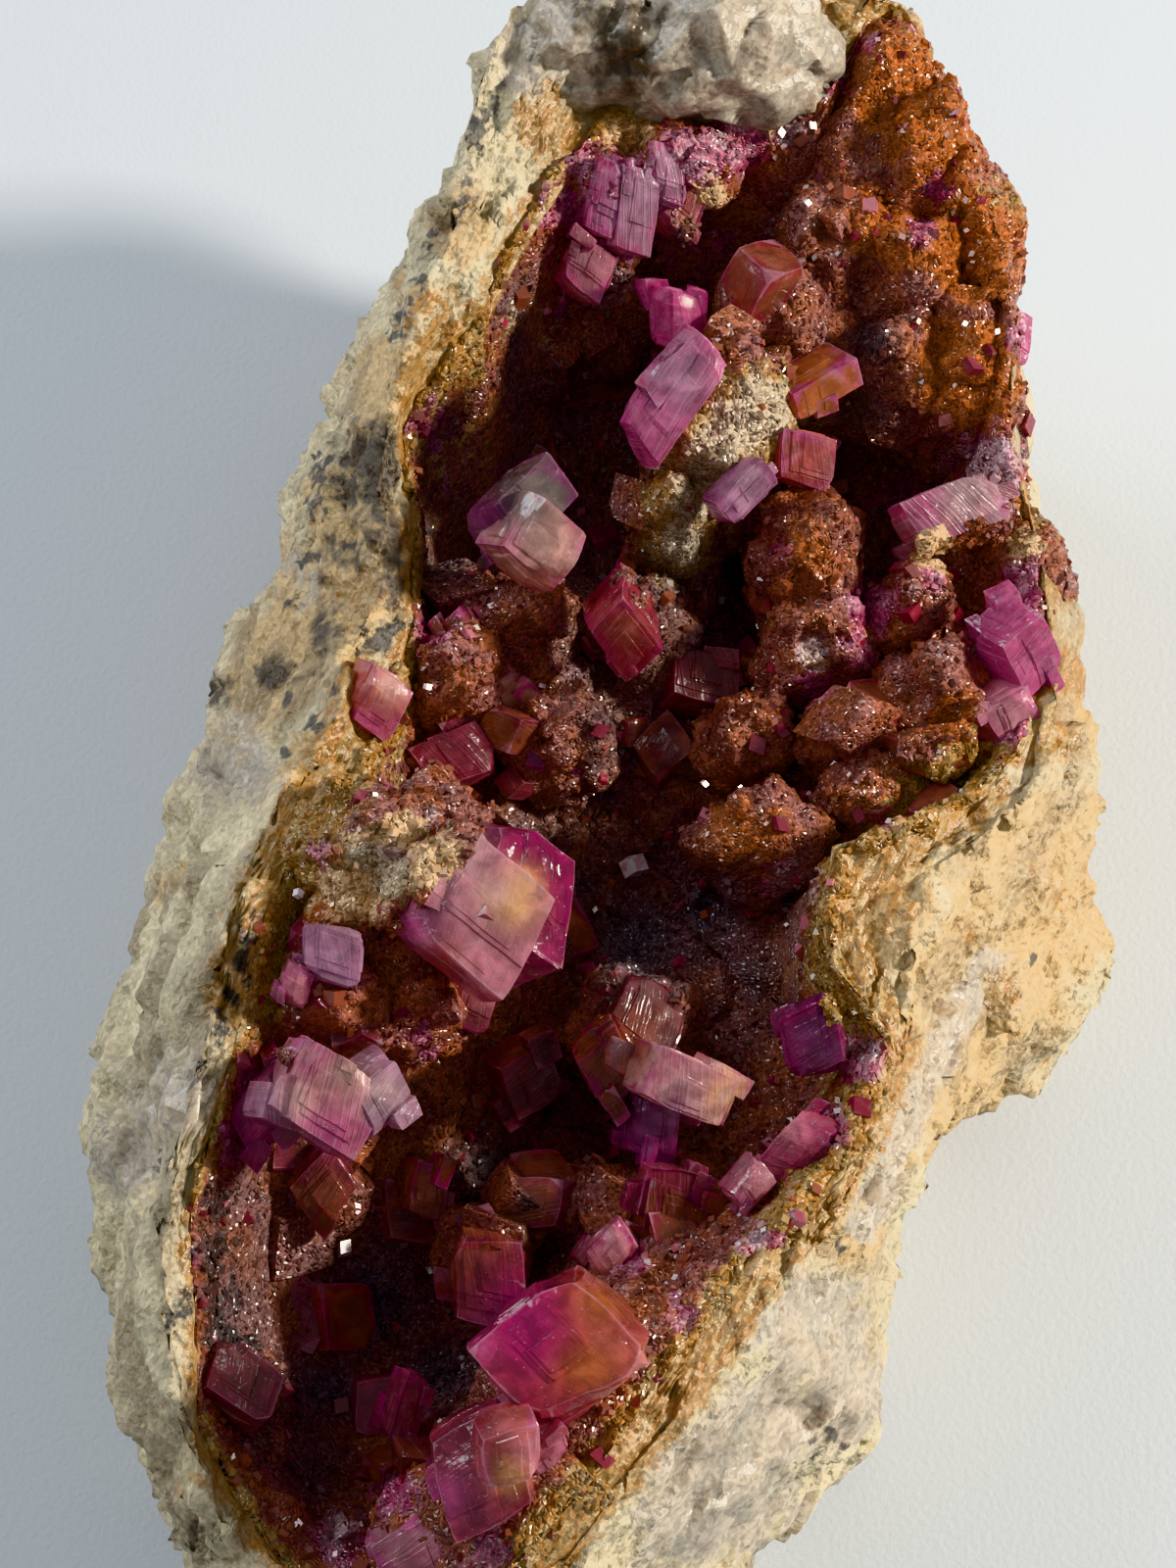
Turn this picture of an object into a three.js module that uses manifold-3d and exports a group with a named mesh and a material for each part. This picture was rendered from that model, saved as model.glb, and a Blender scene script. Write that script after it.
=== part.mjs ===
// A specimen of cobaltoan dolomite: a slab of pale dolomite rock with an open pocket in its top, a rusty drusy
// crust that lines the pocket, and large pink rhombs that stand on the crust.
// Millimetres, +Z up, +Y along the slab. The origin is under the middle of the slab, on the face it lies on.
import * as THREE from 'three';
import { mergeVertices } from 'three/addons/utils/BufferGeometryUtils.js';
import Module from 'manifold-3d';

const wasm = await Module();
wasm.setup();

// Driving dimensions.
const SPECIMEN_WIDTH = 52.3;
const WAIST_HEIGHT = 8;
const CRUST_THICKNESS = 2;
const CRUST_LAP = 0.5;
const CRUST_EDGE = 0.2;
const GAP = 0.3;

// The photograph as a measuring view: it looks along +Y and down, and the slab is 1046 pixels wide in it.
const PIXELS_PER_MM = 1046 / SPECIMEN_WIDTH;
const VIEW_ELEVATION = THREE.MathUtils.degToRad(62);
const VIEW_DISTANCE = 200;
const VIEW_PIXEL = { x: 600, y: 800 };
const VIEW_AIM = new THREE.Vector3(-0.8, -4.4, 18);
const RIGHT = new THREE.Vector3(1, 0, 0);
const UP = new THREE.Vector3(0, Math.sin(VIEW_ELEVATION), Math.cos(VIEW_ELEVATION));
const TOWARDS = new THREE.Vector3(0, -Math.cos(VIEW_ELEVATION), Math.sin(VIEW_ELEVATION));

// The slab's middle, off the measuring view's own origin. The finished solids are moved back by this much.
const SLAB_MIDDLE = { x: 0.09, y: -6.69 };

// The point that shows at a pixel of the photograph, at a height above the table.
function seen(px, py, height) {
  const eye = VIEW_AIM.clone().addScaledVector(TOWARDS, VIEW_DISTANCE);
  const focal = PIXELS_PER_MM * VIEW_DISTANCE;
  const ray = TOWARDS.clone().negate();
  ray.addScaledVector(RIGHT, (px - VIEW_PIXEL.x) / focal);
  ray.addScaledVector(UP, (VIEW_PIXEL.y - py) / focal);
  return eye.addScaledVector(ray, (height - eye.z) / ray.z);
}

// The rock's outlines, clockwise from the far end: pixel x, pixel y, height. The waist is the slab's widest
// line and lies level. The pocket's rows also say how far the crust laps over the edge.
const WAIST = [
  [740, 290], [860, 312], [935, 328], [985, 345], [1012, 400], [1036, 480], [1085, 640], [1097, 720],
  [1122, 880], [1135, 965], [1115, 1018], [1010, 1120], [955, 1160], [915, 1270], [900, 1400],
  [885, 1470], [790, 1570], [700, 1660], [600, 1720], [480, 1745], [350, 1725], [250, 1670],
  [150, 1510], [122, 1340], [87, 1190], [125, 1020], [172, 860], [203, 735], [215, 680], [280, 600],
  [325, 460], [372, 338], [403, 285], [440, 262], [520, 262], [640, 275],
];
const CREST = [
  [740, -22, 33], [850, -10, 32], [922, 5, 30], [950, 60, 28], [978, 130, 27], [1020, 240, 25],
  [1034, 340, 24], [1030, 450, 21], [1060, 560, 20], [1080, 680, 20], [1062, 790, 20.5], [960, 880, 21.5],
  [930, 970, 21.5], [935, 1050, 21], [880, 1190, 21], [800, 1310, 22], [715, 1410, 22.5], [640, 1500, 22],
  [540, 1640, 19], [470, 1680, 17], [380, 1685, 15], [300, 1640, 15], [230, 1560, 16], [178, 1420, 19],
  [163, 1240, 21], [205, 1080, 23], [235, 930, 24.5], [262, 860, 24.5], [345, 730, 23], [388, 600, 22],
  [385, 500, 23], [425, 370, 26], [478, 240, 28], [496, 150, 29], [506, 70, 30], [525, 5, 31],
  [575, -18, 32], [660, -26, 33],
];
const POCKET = [
  [730, 122, 26], [800, 112, 27], [852, 85, 28.5], [880, 25, 29.5, 0.6], [912, 12, 29.5, 0.6],
  [932, 65, 28, 1.2], [958, 130, 27, 1.3], [1004, 240, 25, 1.5], [1016, 340, 24, 1.5], [1012, 450, 21, 1.5],
  [1045, 560, 19.5], [1064, 680, 19.5], [1035, 770, 20], [985, 815, 20.5], [920, 840, 22], [858, 868, 22],
  [845, 930, 22], [852, 990, 21.5], [905, 1060, 20.5], [860, 1170, 20], [770, 1280, 21], [690, 1380, 21.5],
  [630, 1470, 21], [520, 1600, 19], [440, 1650, 16], [360, 1650, 14], [290, 1600, 14], [207, 1460, 17],
  [197, 1310, 19], [195, 1240, 20], [240, 1080, 22], [262, 950, 23.5], [285, 880, 23.5], [345, 835, 23],
  [388, 740, 21], [425, 640, 20.5], [425, 540, 20.5], [412, 440, 22], [490, 330, 25], [560, 190, 27],
  [620, 125, 27],
];

// The pale block that overhangs the pocket's far end: pixel x, pixel y, height of the middle, three radii.
const CAP_BLOCK = [712, 60, 29.5, 8.2, 3, 4.4];

// The bare crust between its lumps, from the far end to the near one: pixel x, pixel y, height.
const VALLEYS = [
  [850, 130, 27], [760, 170, 24], [930, 130, 26.5], [980, 240, 24], [1010, 400, 20], [600, 220, 22],
  [690, 270, 18], [560, 330, 17], [800, 300, 20], [700, 340, 13], [900, 330, 19], [480, 420, 13],
  [450, 520, 8], [590, 430, 11], [870, 450, 10], [520, 620, 12], [640, 560, 11], [760, 580, 12],
  [900, 560, 10], [1000, 560, 16], [1030, 680, 17], [420, 660, 15], [400, 760, 14], [560, 720, 13],
  [700, 740, 12], [840, 740, 13], [980, 760, 16], [330, 900, 18], [450, 880, 16], [560, 860, 10],
  [650, 900, 8.5], [760, 840, 12], [830, 930, 14], [710, 980, 9], [300, 1020, 18], [430, 1050, 13],
  [550, 1080, 10], [660, 1100, 12], [790, 1010, 13], [850, 1110, 17], [240, 1130, 18], [340, 1200, 12],
  [450, 1190, 10], [580, 1180, 8.5], [700, 1210, 13], [790, 1210, 17], [225, 1270, 15], [330, 1320, 9],
  [450, 1330, 8], [570, 1320, 13], [670, 1340, 16], [225, 1420, 13], [330, 1440, 7.5], [420, 1470, 8.5],
  [520, 1450, 15], [610, 1450, 17], [270, 1550, 11], [390, 1580, 10], [500, 1560, 15],
];

// How far round a marked point its height counts.
const VALLEY_REACH = 3.2;

// Druse-covered lumps: pixel x, pixel y, height of the middle, then the three radii. The knobs stand free of
// the crust and overhang it, the swells only raise it.
const KNOBS = [
  [900, 85, 26, 3.2, 3.8, 4.5],
  [942, 172, 24, 3, 4, 5.5],
  [855, 255, 22, 3.8, 3.4, 4.5],
  [930, 295, 21, 3.6, 3.6, 5.5],
  [992, 265, 20, 2.6, 4, 6.5],
  [985, 375, 19, 2.8, 4, 6.5],
  [925, 395, 18, 3.4, 3.6, 6],
  [735, 455, 19, 3.9, 5.2, 6.5],
  [820, 580, 17, 3.3, 3.8, 6.5],
  [830, 680, 15, 3.6, 3, 5.5],
  [385, 885, 22.5, 4.6, 3.8, 6.5],
  [395, 1000, 19, 3.7, 3, 5.5],
];
const SWELLS = [
  [880, 175, 24, 3.4, 3.2, 4],
  [985, 440, 17, 3.2, 2.6, 5.5],
  [785, 320, 18, 3.4, 3.6, 5],
  [835, 385, 17, 3.2, 3.4, 6],
  [600, 260, 20, 3.2, 2.6, 3.5],
  [625, 345, 15, 3.8, 3.2, 5],
  [530, 375, 15, 3.2, 3, 4.5],
  [440, 410, 17, 2.2, 2.8, 5],
  [925, 640, 16, 2.7, 2.6, 4.5],
  [960, 725, 16, 3.9, 3, 5],
  [1035, 600, 15, 2.9, 3.6, 5.5],
  [490, 665, 14, 3.8, 3.6, 5.5],
  [660, 660, 14, 3, 3, 5],
  [560, 720, 13, 3, 2.6, 4],
  [780, 865, 14, 4, 2.8, 4.5],
  [890, 815, 15, 3.4, 2.2, 3.5],
  [310, 925, 19, 2.8, 3, 4.5],
  [650, 1055, 14, 3.4, 3, 5],
  [255, 1120, 17, 2.2, 3, 4.5],
  [330, 1225, 12, 2.2, 2.2, 3.5],
  [500, 1290, 11, 2.8, 3, 4],
  [690, 1245, 14, 3.8, 2.8, 4.5],
  [440, 1220, 10, 2.2, 2, 3],
  [240, 1425, 12, 2.8, 2.8, 4],
  [600, 1410, 17, 4.4, 3.6, 5.5],
  [470, 1560, 14, 4, 3.4, 5],
  [330, 1590, 9, 3.4, 2.8, 4],
];

// The large rhombs. The face that looks at the viewer has its middle at pixel x, pixel y and a height, its
// first edge runs at the turn, in degrees anticlockwise from the picture's right, and its second 102 degrees
// further on. The tilt then leans that face to the right and upwards. The edges are the three edge lengths.
const CRYSTALS = {
  blades_under_cap: [
    { face: [650, 205, 26], edges: [1.8, 4.6, 2.2], turn: -20, tilt: [10, -20] },
    { face: [600, 175, 26.5], edges: [3.2, 1.8, 2], turn: 20, tilt: [-20, 10] },
    { face: [705, 200, 26], edges: [2.8, 3, 2.6], turn: -40, tilt: [20, -10] },
  ],
  block_behind_island: [{ face: [695, 330, 26], edges: [2.9, 3.4, 5], turn: -10, tilt: [-10, -25] }],
  island_rim_plate: [{ face: [691, 412, 27], edges: [2.9, 7.2, 3], turn: -47, tilt: [-5, -18] }],
  island_rim_violet: [{ face: [766, 498, 24.5], edges: [1.6, 3.1, 2], turn: -58, tilt: [15, -5] }],
  island_rim_rust: [
    { face: [828, 464, 24], edges: [3, 3.1, 3], turn: -15, tilt: [15, -10] },
    { face: [842, 408, 24], edges: [2, 4.2, 3], turn: -65, tilt: [25, -10] },
  ],
  clear_twin: [
    { face: [550, 508, 25], edges: [3, 4.2, 4.5], turn: -56, tilt: [10, 12] },
    { face: [560, 553, 25.5], edges: [4, 3.5, 4.5], turn: -41, tilt: [-8, -10] },
  ],
  magenta_rhomb: [{ face: [636, 659, 23.5], edges: [3.6, 3.6, 5], turn: -51, tilt: [-18, -25] }],
  left_rim_rhomb: [{ face: [395, 717, 23], edges: [2.4, 3.6, 3.2], turn: -40, tilt: [10, -15] }],
  broken_plate_left: [{ face: [465, 769, 18], edges: [4.1, 3.1, 2.6], turn: 22, tilt: [5, -5] }],
  broken_plate_right: [{ face: [568, 755, 17], edges: [3, 3.7, 1.4], turn: 72, tilt: [15, 5] }],
  rust_pair_left: [
    { face: [464, 660, 20], edges: [3.2, 3.4, 3], turn: -60, tilt: [-20, 5] },
    { face: [520, 716, 18.5], edges: [2.6, 2.6, 3], turn: -50, tilt: [0, -20] },
  ],
  ridge_pair: [
    { face: [489, 936, 29], edges: [6.2, 5.8, 3.6], turn: -40, tilt: [12, 0] },
    { face: [536, 898, 27], edges: [4.6, 6, 5], turn: -20, tilt: [28, 18] },
  ],
  ridge_foot: [{ face: [485, 1025, 20], edges: [2.6, 3.2, 3], turn: -30, tilt: [10, -20] }],
  ridge_spike: [{ face: [398, 828, 24], edges: [2.6, 2.6, 3.4], turn: -50, tilt: [10, 25] }],
  lavender_pair: [
    { face: [341, 973, 27], edges: [3, 3.1, 3.2], turn: -15, tilt: [-8, -8] },
    { face: [303, 1008, 25.5], edges: [1.6, 2, 2.4], turn: -30, tilt: [-10, -15] },
  ],
  left_cluster: [
    { face: [345, 1126, 24.5], edges: [4.4, 4.2, 4], turn: -36, tilt: [8, -8] },
    { face: [268, 1142, 21.5], edges: [3, 3.8, 3.6], turn: -60, tilt: [-20, -15] },
    { face: [398, 1124, 24], edges: [2.8, 2.8, 3], turn: -62, tilt: [20, 0] },
  ],
  orange_heart_group: [
    { face: [711, 1113, 22.5], edges: [5.2, 2.9, 3.2], turn: -27, tilt: [8, -18] },
    { face: [668, 1152, 19.5], edges: [2.6, 3.2, 3], turn: -20, tilt: [-5, -10] },
    { face: [626, 1092, 20.5], edges: [3.2, 3.2, 3.6], turn: -60, tilt: [-12, -8] },
    { face: [665, 1035, 19], edges: [3.8, 3.8, 3.4], turn: -35, tilt: [10, 20] },
  ],
  wedge_plate: [{ face: [828, 1062, 21], edges: [3.4, 3.4, 1.6], turn: -75, tilt: [-25, -10] }],
  right_rim_blades: [
    { face: [808, 1176, 21.5], edges: [4.6, 2.4, 3], turn: 54, tilt: [-10, -15] },
    { face: [772, 1212, 21], edges: [1.6, 2.4, 2], turn: -55, tilt: [5, -10] },
  ],
  front_group: [
    { face: [568, 1382, 28], edges: [6.6, 6.2, 5.6], turn: 215, tilt: [-4, 18] },
    { face: [492, 1506, 24.5], edges: [5.4, 4.8, 5], turn: -75, tilt: [-17, 8] },
    { face: [525, 1490, 27.5], edges: [2.9, 3, 3], turn: -85, tilt: [0, -10] },
    { face: [563, 1482, 26], edges: [1.4, 2.2, 2], turn: -60, tilt: [5, 0] },
  ],
  front_edge_slab: [{ face: [425, 1590, 17], edges: [3.6, 4.4, 3.4], turn: -70, tilt: [-15, -5] }],
  white_faced_rhomb: [{ face: [251, 1406, 18], edges: [4, 2.9, 4], turn: -32, tilt: [5, 18] }],
  shade_prism: [{ face: [420, 1440, 14], edges: [1.6, 3.8, 2], turn: -30, tilt: [10, -10] }],
  rust_block_front: [{ face: [500, 1308, 17], edges: [3.8, 5, 4.4], turn: -10, tilt: [-10, -10] }],
  layered_block: [
    { face: [688, 1222, 19.4], edges: [3.4, 3.4, 1.4], turn: -25, tilt: [5, -20] },
    { face: [696, 1246, 18.6], edges: [4, 3.6, 1.6], turn: -22, tilt: [5, -20] },
    { face: [708, 1266, 17.6], edges: [3.6, 3.4, 2.4], turn: -19, tilt: [5, -20] },
  ],
  violet_corner: [{ face: [628, 1277, 19], edges: [2.2, 2.6, 2.8], turn: -55, tilt: [-10, 5] }],
  orange_rhomb: [{ face: [332, 1215, 16], edges: [3, 3.2, 3.2], turn: -55, tilt: [-5, -10] }],
  shade_rhomb: [{ face: [545, 1105, 14], edges: [3.2, 3, 3.2], turn: -70, tilt: [5, -5] }],
  rust_rhomb_low: [{ face: [440, 1215, 14], edges: [2.2, 3, 2.8], turn: -20, tilt: [0, -10] }],
  east_rim_pair: [
    { face: [1058, 672, 21.5], edges: [3.6, 3, 3.4], turn: -65, tilt: [15, -20] },
    { face: [1038, 734, 20], edges: [2.4, 3, 3.2], turn: -70, tilt: [12, -10] },
  ],
  east_shelf: [{ face: [978, 518, 22.5], edges: [5.4, 3, 3.6], turn: 20, tilt: [5, -15] }],
  east_sliver: [{ face: [1044, 345, 21], edges: [1.6, 3.2, 2], turn: -20, tilt: [35, 0] }],
  east_rust_block: [{ face: [958, 768, 19.5], edges: [4, 2.7, 3.2], turn: 5, tilt: [5, -20] }],
  striped_rhomb: [{ face: [722, 688, 16], edges: [3.8, 3, 3.2], turn: -15, tilt: [5, 10] }],
  cap_edge_rhomb: [{ face: [603, 275, 24], edges: [2.8, 2.8, 3], turn: -35, tilt: [-5, -10] }],
};

// The angle between two edges at a dolomite rhomb's blunt corner.
const OBTUSE = THREE.MathUtils.degToRad(101.9);

// Small crystals fused to the crust: how many, their edge lengths, how far up a lump they sit as a share of
// its height, and how far they lean, in degrees.
const SMALL_CRYSTALS = {
  count: 10,
  shortest: 1.1,
  longest: 2.3,
  lowest: 0.15,
  highest: 0.85,
  lean: 30,
  seed: 7,
};

// A repeatable row of numbers from 0 to 1.
function seededRandom(seed) {
  let state = seed;
  return () => {
    state = (state * 1103515245 + 12345) % 2147483648;
    return state / 2147483648;
  };
}

// Uneven rock: three crossed ripples that bend each other, from -1 to 1.
function rough(p, step) {
  const x = p.x / step;
  const y = p.y / step;
  const z = p.z / step;
  const a = Math.sin(x + 1.7 * Math.sin(0.83 * y + 0.6) + 0.41 * z);
  const b = Math.sin(1.13 * y + 1.3 * Math.sin(0.91 * z + 2.1) - 0.37 * x);
  const c = Math.sin(0.97 * z + 1.5 * Math.sin(1.07 * x + 4) + 0.29 * y);
  return (a + b + c) / 3;
}

// Every outline goes round one upright axis. Its angle is taken on an ellipse of the slab's proportions, so
// that equal steps of the angle are about equal steps along the edge.
const AXIS = seen(600, 830, 12);
const ELLIPSE = { x: 25, y: 42 };

function outline(points) {
  const knots = points.map(([px, py, height = WAIST_HEIGHT, lap = CRUST_LAP]) => {
    const p = seen(px, py, height);
    const dx = (p.x - AXIS.x) / ELLIPSE.x;
    const dy = (p.y - AXIS.y) / ELLIPSE.y;
    return { angle: Math.atan2(dy, dx), reach: Math.hypot(dx, dy), height, lap };
  });
  knots.sort((a, b) => a.angle - b.angle);
  const turn = 2 * Math.PI;
  const last = knots.at(-1);
  const first = knots[0];
  const ring = [{ ...last, angle: last.angle - turn }, ...knots, { ...first, angle: first.angle + turn }];
  return (angle) => {
    const k = Math.max(1, ring.findIndex((knot) => knot.angle >= angle));
    const a = ring[k - 1];
    const b = ring[k];
    const share = (angle - a.angle) / (b.angle - a.angle);
    return {
      reach: THREE.MathUtils.lerp(a.reach, b.reach, share),
      height: THREE.MathUtils.lerp(a.height, b.height, share),
      lap: THREE.MathUtils.lerp(a.lap, b.lap, share),
    };
  };
}

const waistAt = outline(WAIST);
const crestAt = outline(CREST);
const pocketAt = outline(POCKET);

// A distance in millimetres as a share of the ellipse's radius on that side.
function outward(angle, distance) {
  return distance / Math.hypot(ELLIPSE.x * Math.cos(angle), ELLIPSE.y * Math.sin(angle));
}

function around(angle, reach, height) {
  return new THREE.Vector3(
    AXIS.x + ELLIPSE.x * reach * Math.cos(angle),
    AXIS.y + ELLIPSE.y * reach * Math.sin(angle),
    height,
  );
}

// The crust's valleys as one smooth surface: the mean of the marked heights, weighted by nearness.
const valleyPoints = VALLEYS.map(([px, py, height]) => seen(px, py, height));

function valleyHeight(x, y) {
  let sum = 0;
  let weights = Number.EPSILON;
  for (const p of valleyPoints) {
    const weight = Math.exp(-((p.x - x) ** 2 + (p.y - y) ** 2) / (2 * VALLEY_REACH ** 2));
    sum += weight * p.z;
    weights += weight;
  }
  return sum / weights;
}

// Where a point lies between the axis, at 0, and the pocket's edge, at 1, with the edge's height on that side.
function inPocket(x, y) {
  const dx = (x - AXIS.x) / ELLIPSE.x;
  const dy = (y - AXIS.y) / ELLIPSE.y;
  const edge = pocketAt(Math.atan2(dy, dx));
  return { share: Math.hypot(dx, dy) / edge.reach, ...edge };
}

// The valleys run up to the pocket's edge within the outer part of the way, and are uneven in themselves.
const WALL_SHARE = 0.15;
const VALLEY_RIPPLE = { height: 0.35, step: 0.9 };

function groundHeight(x, y, overEdge, thinner) {
  const { share, height, lap } = inPocket(x, y);
  const inside = THREE.MathUtils.smoothstep(1 - share, 0, WALL_SHARE);
  const ripple = VALLEY_RIPPLE.height * rough(new THREE.Vector3(x, y, 0), VALLEY_RIPPLE.step);
  return THREE.MathUtils.lerp(height + overEdge(lap), valleyHeight(x, y) - thinner + ripple, inside);
}

const swells = SWELLS.map(([px, py, height, rx, ry, rz]) => ({ middle: seen(px, py, height), rx, ry, rz }));

function swellHeight(x, y) {
  let top = 0;
  for (const { middle, rx, ry, rz } of swells) {
    const off = Math.hypot((x - middle.x) / rx, (y - middle.y) / ry);
    if (off < 1) top = Math.max(top, middle.z + rz * Math.sqrt(1 - off * off));
  }
  return top;
}

// A geometry as its bare corner points, each of them held once by all the faces that meet there.
const WELD = 1e-4;

function welded(geometry) {
  const bare = geometry.clone();
  bare.deleteAttribute('normal');
  bare.deleteAttribute('uv');
  return mergeVertices(bare, WELD);
}

function solidOf(geometry) {
  const closed = welded(geometry);
  const vertProperties = new Float32Array(closed.attributes.position.array);
  const triVerts = new Uint32Array(closed.index.array);
  return new wasm.Manifold(new wasm.Mesh({ numProp: 3, vertProperties, triVerts }));
}

// A closed solid from rings of equal length, the first and last of which close to one point.
const SPOKES = 56;

function loft(rings) {
  const positions = [];
  const faces = [];
  rings.forEach((ring) => ring.forEach((p) => positions.push(p.x, p.y, p.z)));
  const start = (ring) => (ring === 0 ? 0 : 1 + (ring - 1) * SPOKES);
  const poleEnd = start(rings.length - 1);
  for (let j = 0; j < SPOKES; j += 1) {
    const next = (j + 1) % SPOKES;
    faces.push(0, start(1) + next, start(1) + j);
    for (let i = 1; i < rings.length - 2; i += 1) {
      const [a, b, c, d] = [start(i) + j, start(i) + next, start(i + 1) + next, start(i + 1) + j];
      if ((i + j) % 2) faces.push(a, b, c, a, c, d);
      else faces.push(a, b, d, b, c, d);
    }
    faces.push(poleEnd, start(rings.length - 2) + j, start(rings.length - 2) + next);
  }
  const geometry = new THREE.BufferGeometry();
  geometry.setAttribute('position', new THREE.Float32BufferAttribute(positions, 3));
  geometry.setIndex(faces);
  return solidOf(geometry);
}

function ringOf(pointAt) {
  return Array.from({ length: SPOKES }, (_, j) => pointAt(-Math.PI + (2 * Math.PI * (j + 0.5)) / SPOKES));
}

// The pocket is cut out of the rock between these two levels. The lower one stays inside the rock.
const FLOOR = 1;
const CEILING = 60;

// A straight shaft as wide as the pocket's edge, or wider by so many times the crust's lap.
function pocketShaft(laps) {
  const wall = (height) =>
    ringOf((angle) => {
      const { reach, lap } = pocketAt(angle);
      return around(angle, reach + laps * outward(angle, lap), height);
    });
  return loft([[around(0, 0, FLOOR)], wall(FLOOR), wall(CEILING), [around(0, 0, CEILING)]]);
}

// All that lies above or below an uneven ground, on a net whose knots stand a little off their places.
const CELL = 2.6;
const NET_SPAN = 2.5;
const NET_SHIFT = { most: 0.33 * CELL, step: 0.45 * CELL, between: 40 };

function halfSpace(heightAt, above) {
  const across = Math.ceil((NET_SPAN * ELLIPSE.x) / CELL);
  const along = Math.ceil((NET_SPAN * ELLIPSE.y) / CELL);
  const net = welded(new THREE.BoxGeometry(across * CELL, along * CELL, 1, across, along, 1));
  if (above) net.index.array.reverse();
  const place = net.attributes.position;
  for (let i = 0; i < place.count; i += 1) {
    let x = place.getX(i) + AXIS.x;
    let y = place.getY(i) + AXIS.y;
    const ground = place.getZ(i) > 0;
    if (ground) {
      const at = new THREE.Vector3(x, y, 0);
      x += NET_SHIFT.most * rough(at, NET_SHIFT.step);
      y += NET_SHIFT.most * rough(at.addScalar(NET_SHIFT.between), NET_SHIFT.step);
    }
    const level = above ? CEILING : FLOOR;
    place.setXYZ(i, x, y, ground ? heightAt(x, y) : level);
  }
  return solidOf(net);
}

// The rock, or, with a skin, the same rock that much thicker. Its foot is smaller than its waist and stands
// flat, its flanks bulge, and its lip runs in from the crest to just past the pocket's edge.
const UNDERCUT = 3.2;
const FOOT_RINGS = [
  { inset: UNDERCUT, height: 0, strength: 0.9 },
  { inset: 0.35 * UNDERCUT, height: 3, strength: 1 },
];
const FLANK_SHARES = [0, 0.33, 0.67, 1];
const LIP_SHARES = [0.5, 1.1];
const BULGE = 1.1;
const ROCK_BUMPS = { height: 0.9, coarse: 2.3, fine: 1.1 };
const LIP_BUMPS = { height: 0.4, step: 1.6 };

function rockSolid(skin) {
  const weathered = (p, angle, strength) => {
    const bump = strength * ROCK_BUMPS.height * (rough(p, ROCK_BUMPS.coarse) + 0.5 * rough(p, ROCK_BUMPS.fine));
    const push = outward(angle, bump + skin);
    p.x += ELLIPSE.x * push * Math.cos(angle);
    p.y += ELLIPSE.y * push * Math.sin(angle);
    p.z += strength * 0.5 * bump + skin;
    return p;
  };
  const foot = ({ inset, height, strength }) =>
    ringOf((angle) => {
      const p = around(angle, waistAt(angle).reach - outward(angle, inset), height);
      weathered(p, angle, strength);
      p.z = height;
      return p;
    });
  const flank = (share) =>
    ringOf((angle) => {
      const low = waistAt(angle);
      const high = crestAt(angle);
      const reach = THREE.MathUtils.lerp(low.reach, high.reach, share);
      const bulge = outward(angle, BULGE * Math.sin(Math.PI * share));
      const height = THREE.MathUtils.lerp(WAIST_HEIGHT, high.height, share);
      return weathered(around(angle, reach + bulge, height), angle, 1);
    });
  const lip = (share) =>
    ringOf((angle) => {
      const outer = crestAt(angle);
      const inner = pocketAt(angle);
      const reach = THREE.MathUtils.lerp(outer.reach, inner.reach, share);
      const height = THREE.MathUtils.lerp(outer.height, inner.height, share);
      const p = around(angle, reach, height);
      p.z += skin + (1 - share) * LIP_BUMPS.height * rough(p, LIP_BUMPS.step);
      return p;
    });
  const block = loft([
    [around(0, 0, 0)],
    ...FOOT_RINGS.map(foot),
    ...FLANK_SHARES.map(flank),
    ...LIP_SHARES.map(lip),
    [around(0, 0, VIEW_AIM.z)],
  ]);
  const bare = (x, y) => groundHeight(x, y, () => skin, CRUST_THICKNESS - skin);
  return block.add(knobSolid(CAP_BLOCK, skin)).subtract(pocketShaft(0).intersect(halfSpace(bare, true)));
}

// The crust before its knobs: a filling of the pocket up to the valleys and the swells, with a thin edge
// that laps over the rim.
function crustFilling() {
  const top = (x, y) => Math.max(groundHeight(x, y, (lap) => lap + CRUST_EDGE, 0), swellHeight(x, y));
  return pocketShaft(1).intersect(halfSpace(top, false));
}

// A free lump: a ball of three radii, knocked out of shape.
const KNOB_DENTS = { depth: 0.16, step: 0.8 };

function knobSolid([px, py, height, rx, ry, rz], skin = 0) {
  const middle = seen(px, py, height);
  const lump = welded(new THREE.IcosahedronGeometry(1, 1));
  const place = lump.attributes.position;
  const p = new THREE.Vector3();
  for (let i = 0; i < place.count; i += 1) {
    p.fromBufferAttribute(place, i);
    const at = new THREE.Vector3(p.x * rx, p.y * ry, p.z * rz).add(middle);
    const dent = 1 + KNOB_DENTS.depth * rough(at, KNOB_DENTS.step);
    const reach = new THREE.Vector3(rx * dent + skin, ry * dent + skin, rz * dent + skin);
    place.setXYZ(i, middle.x + p.x * reach.x, middle.y + p.y * reach.y, middle.z + p.z * reach.z);
  }
  return solidOf(lump);
}

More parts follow.
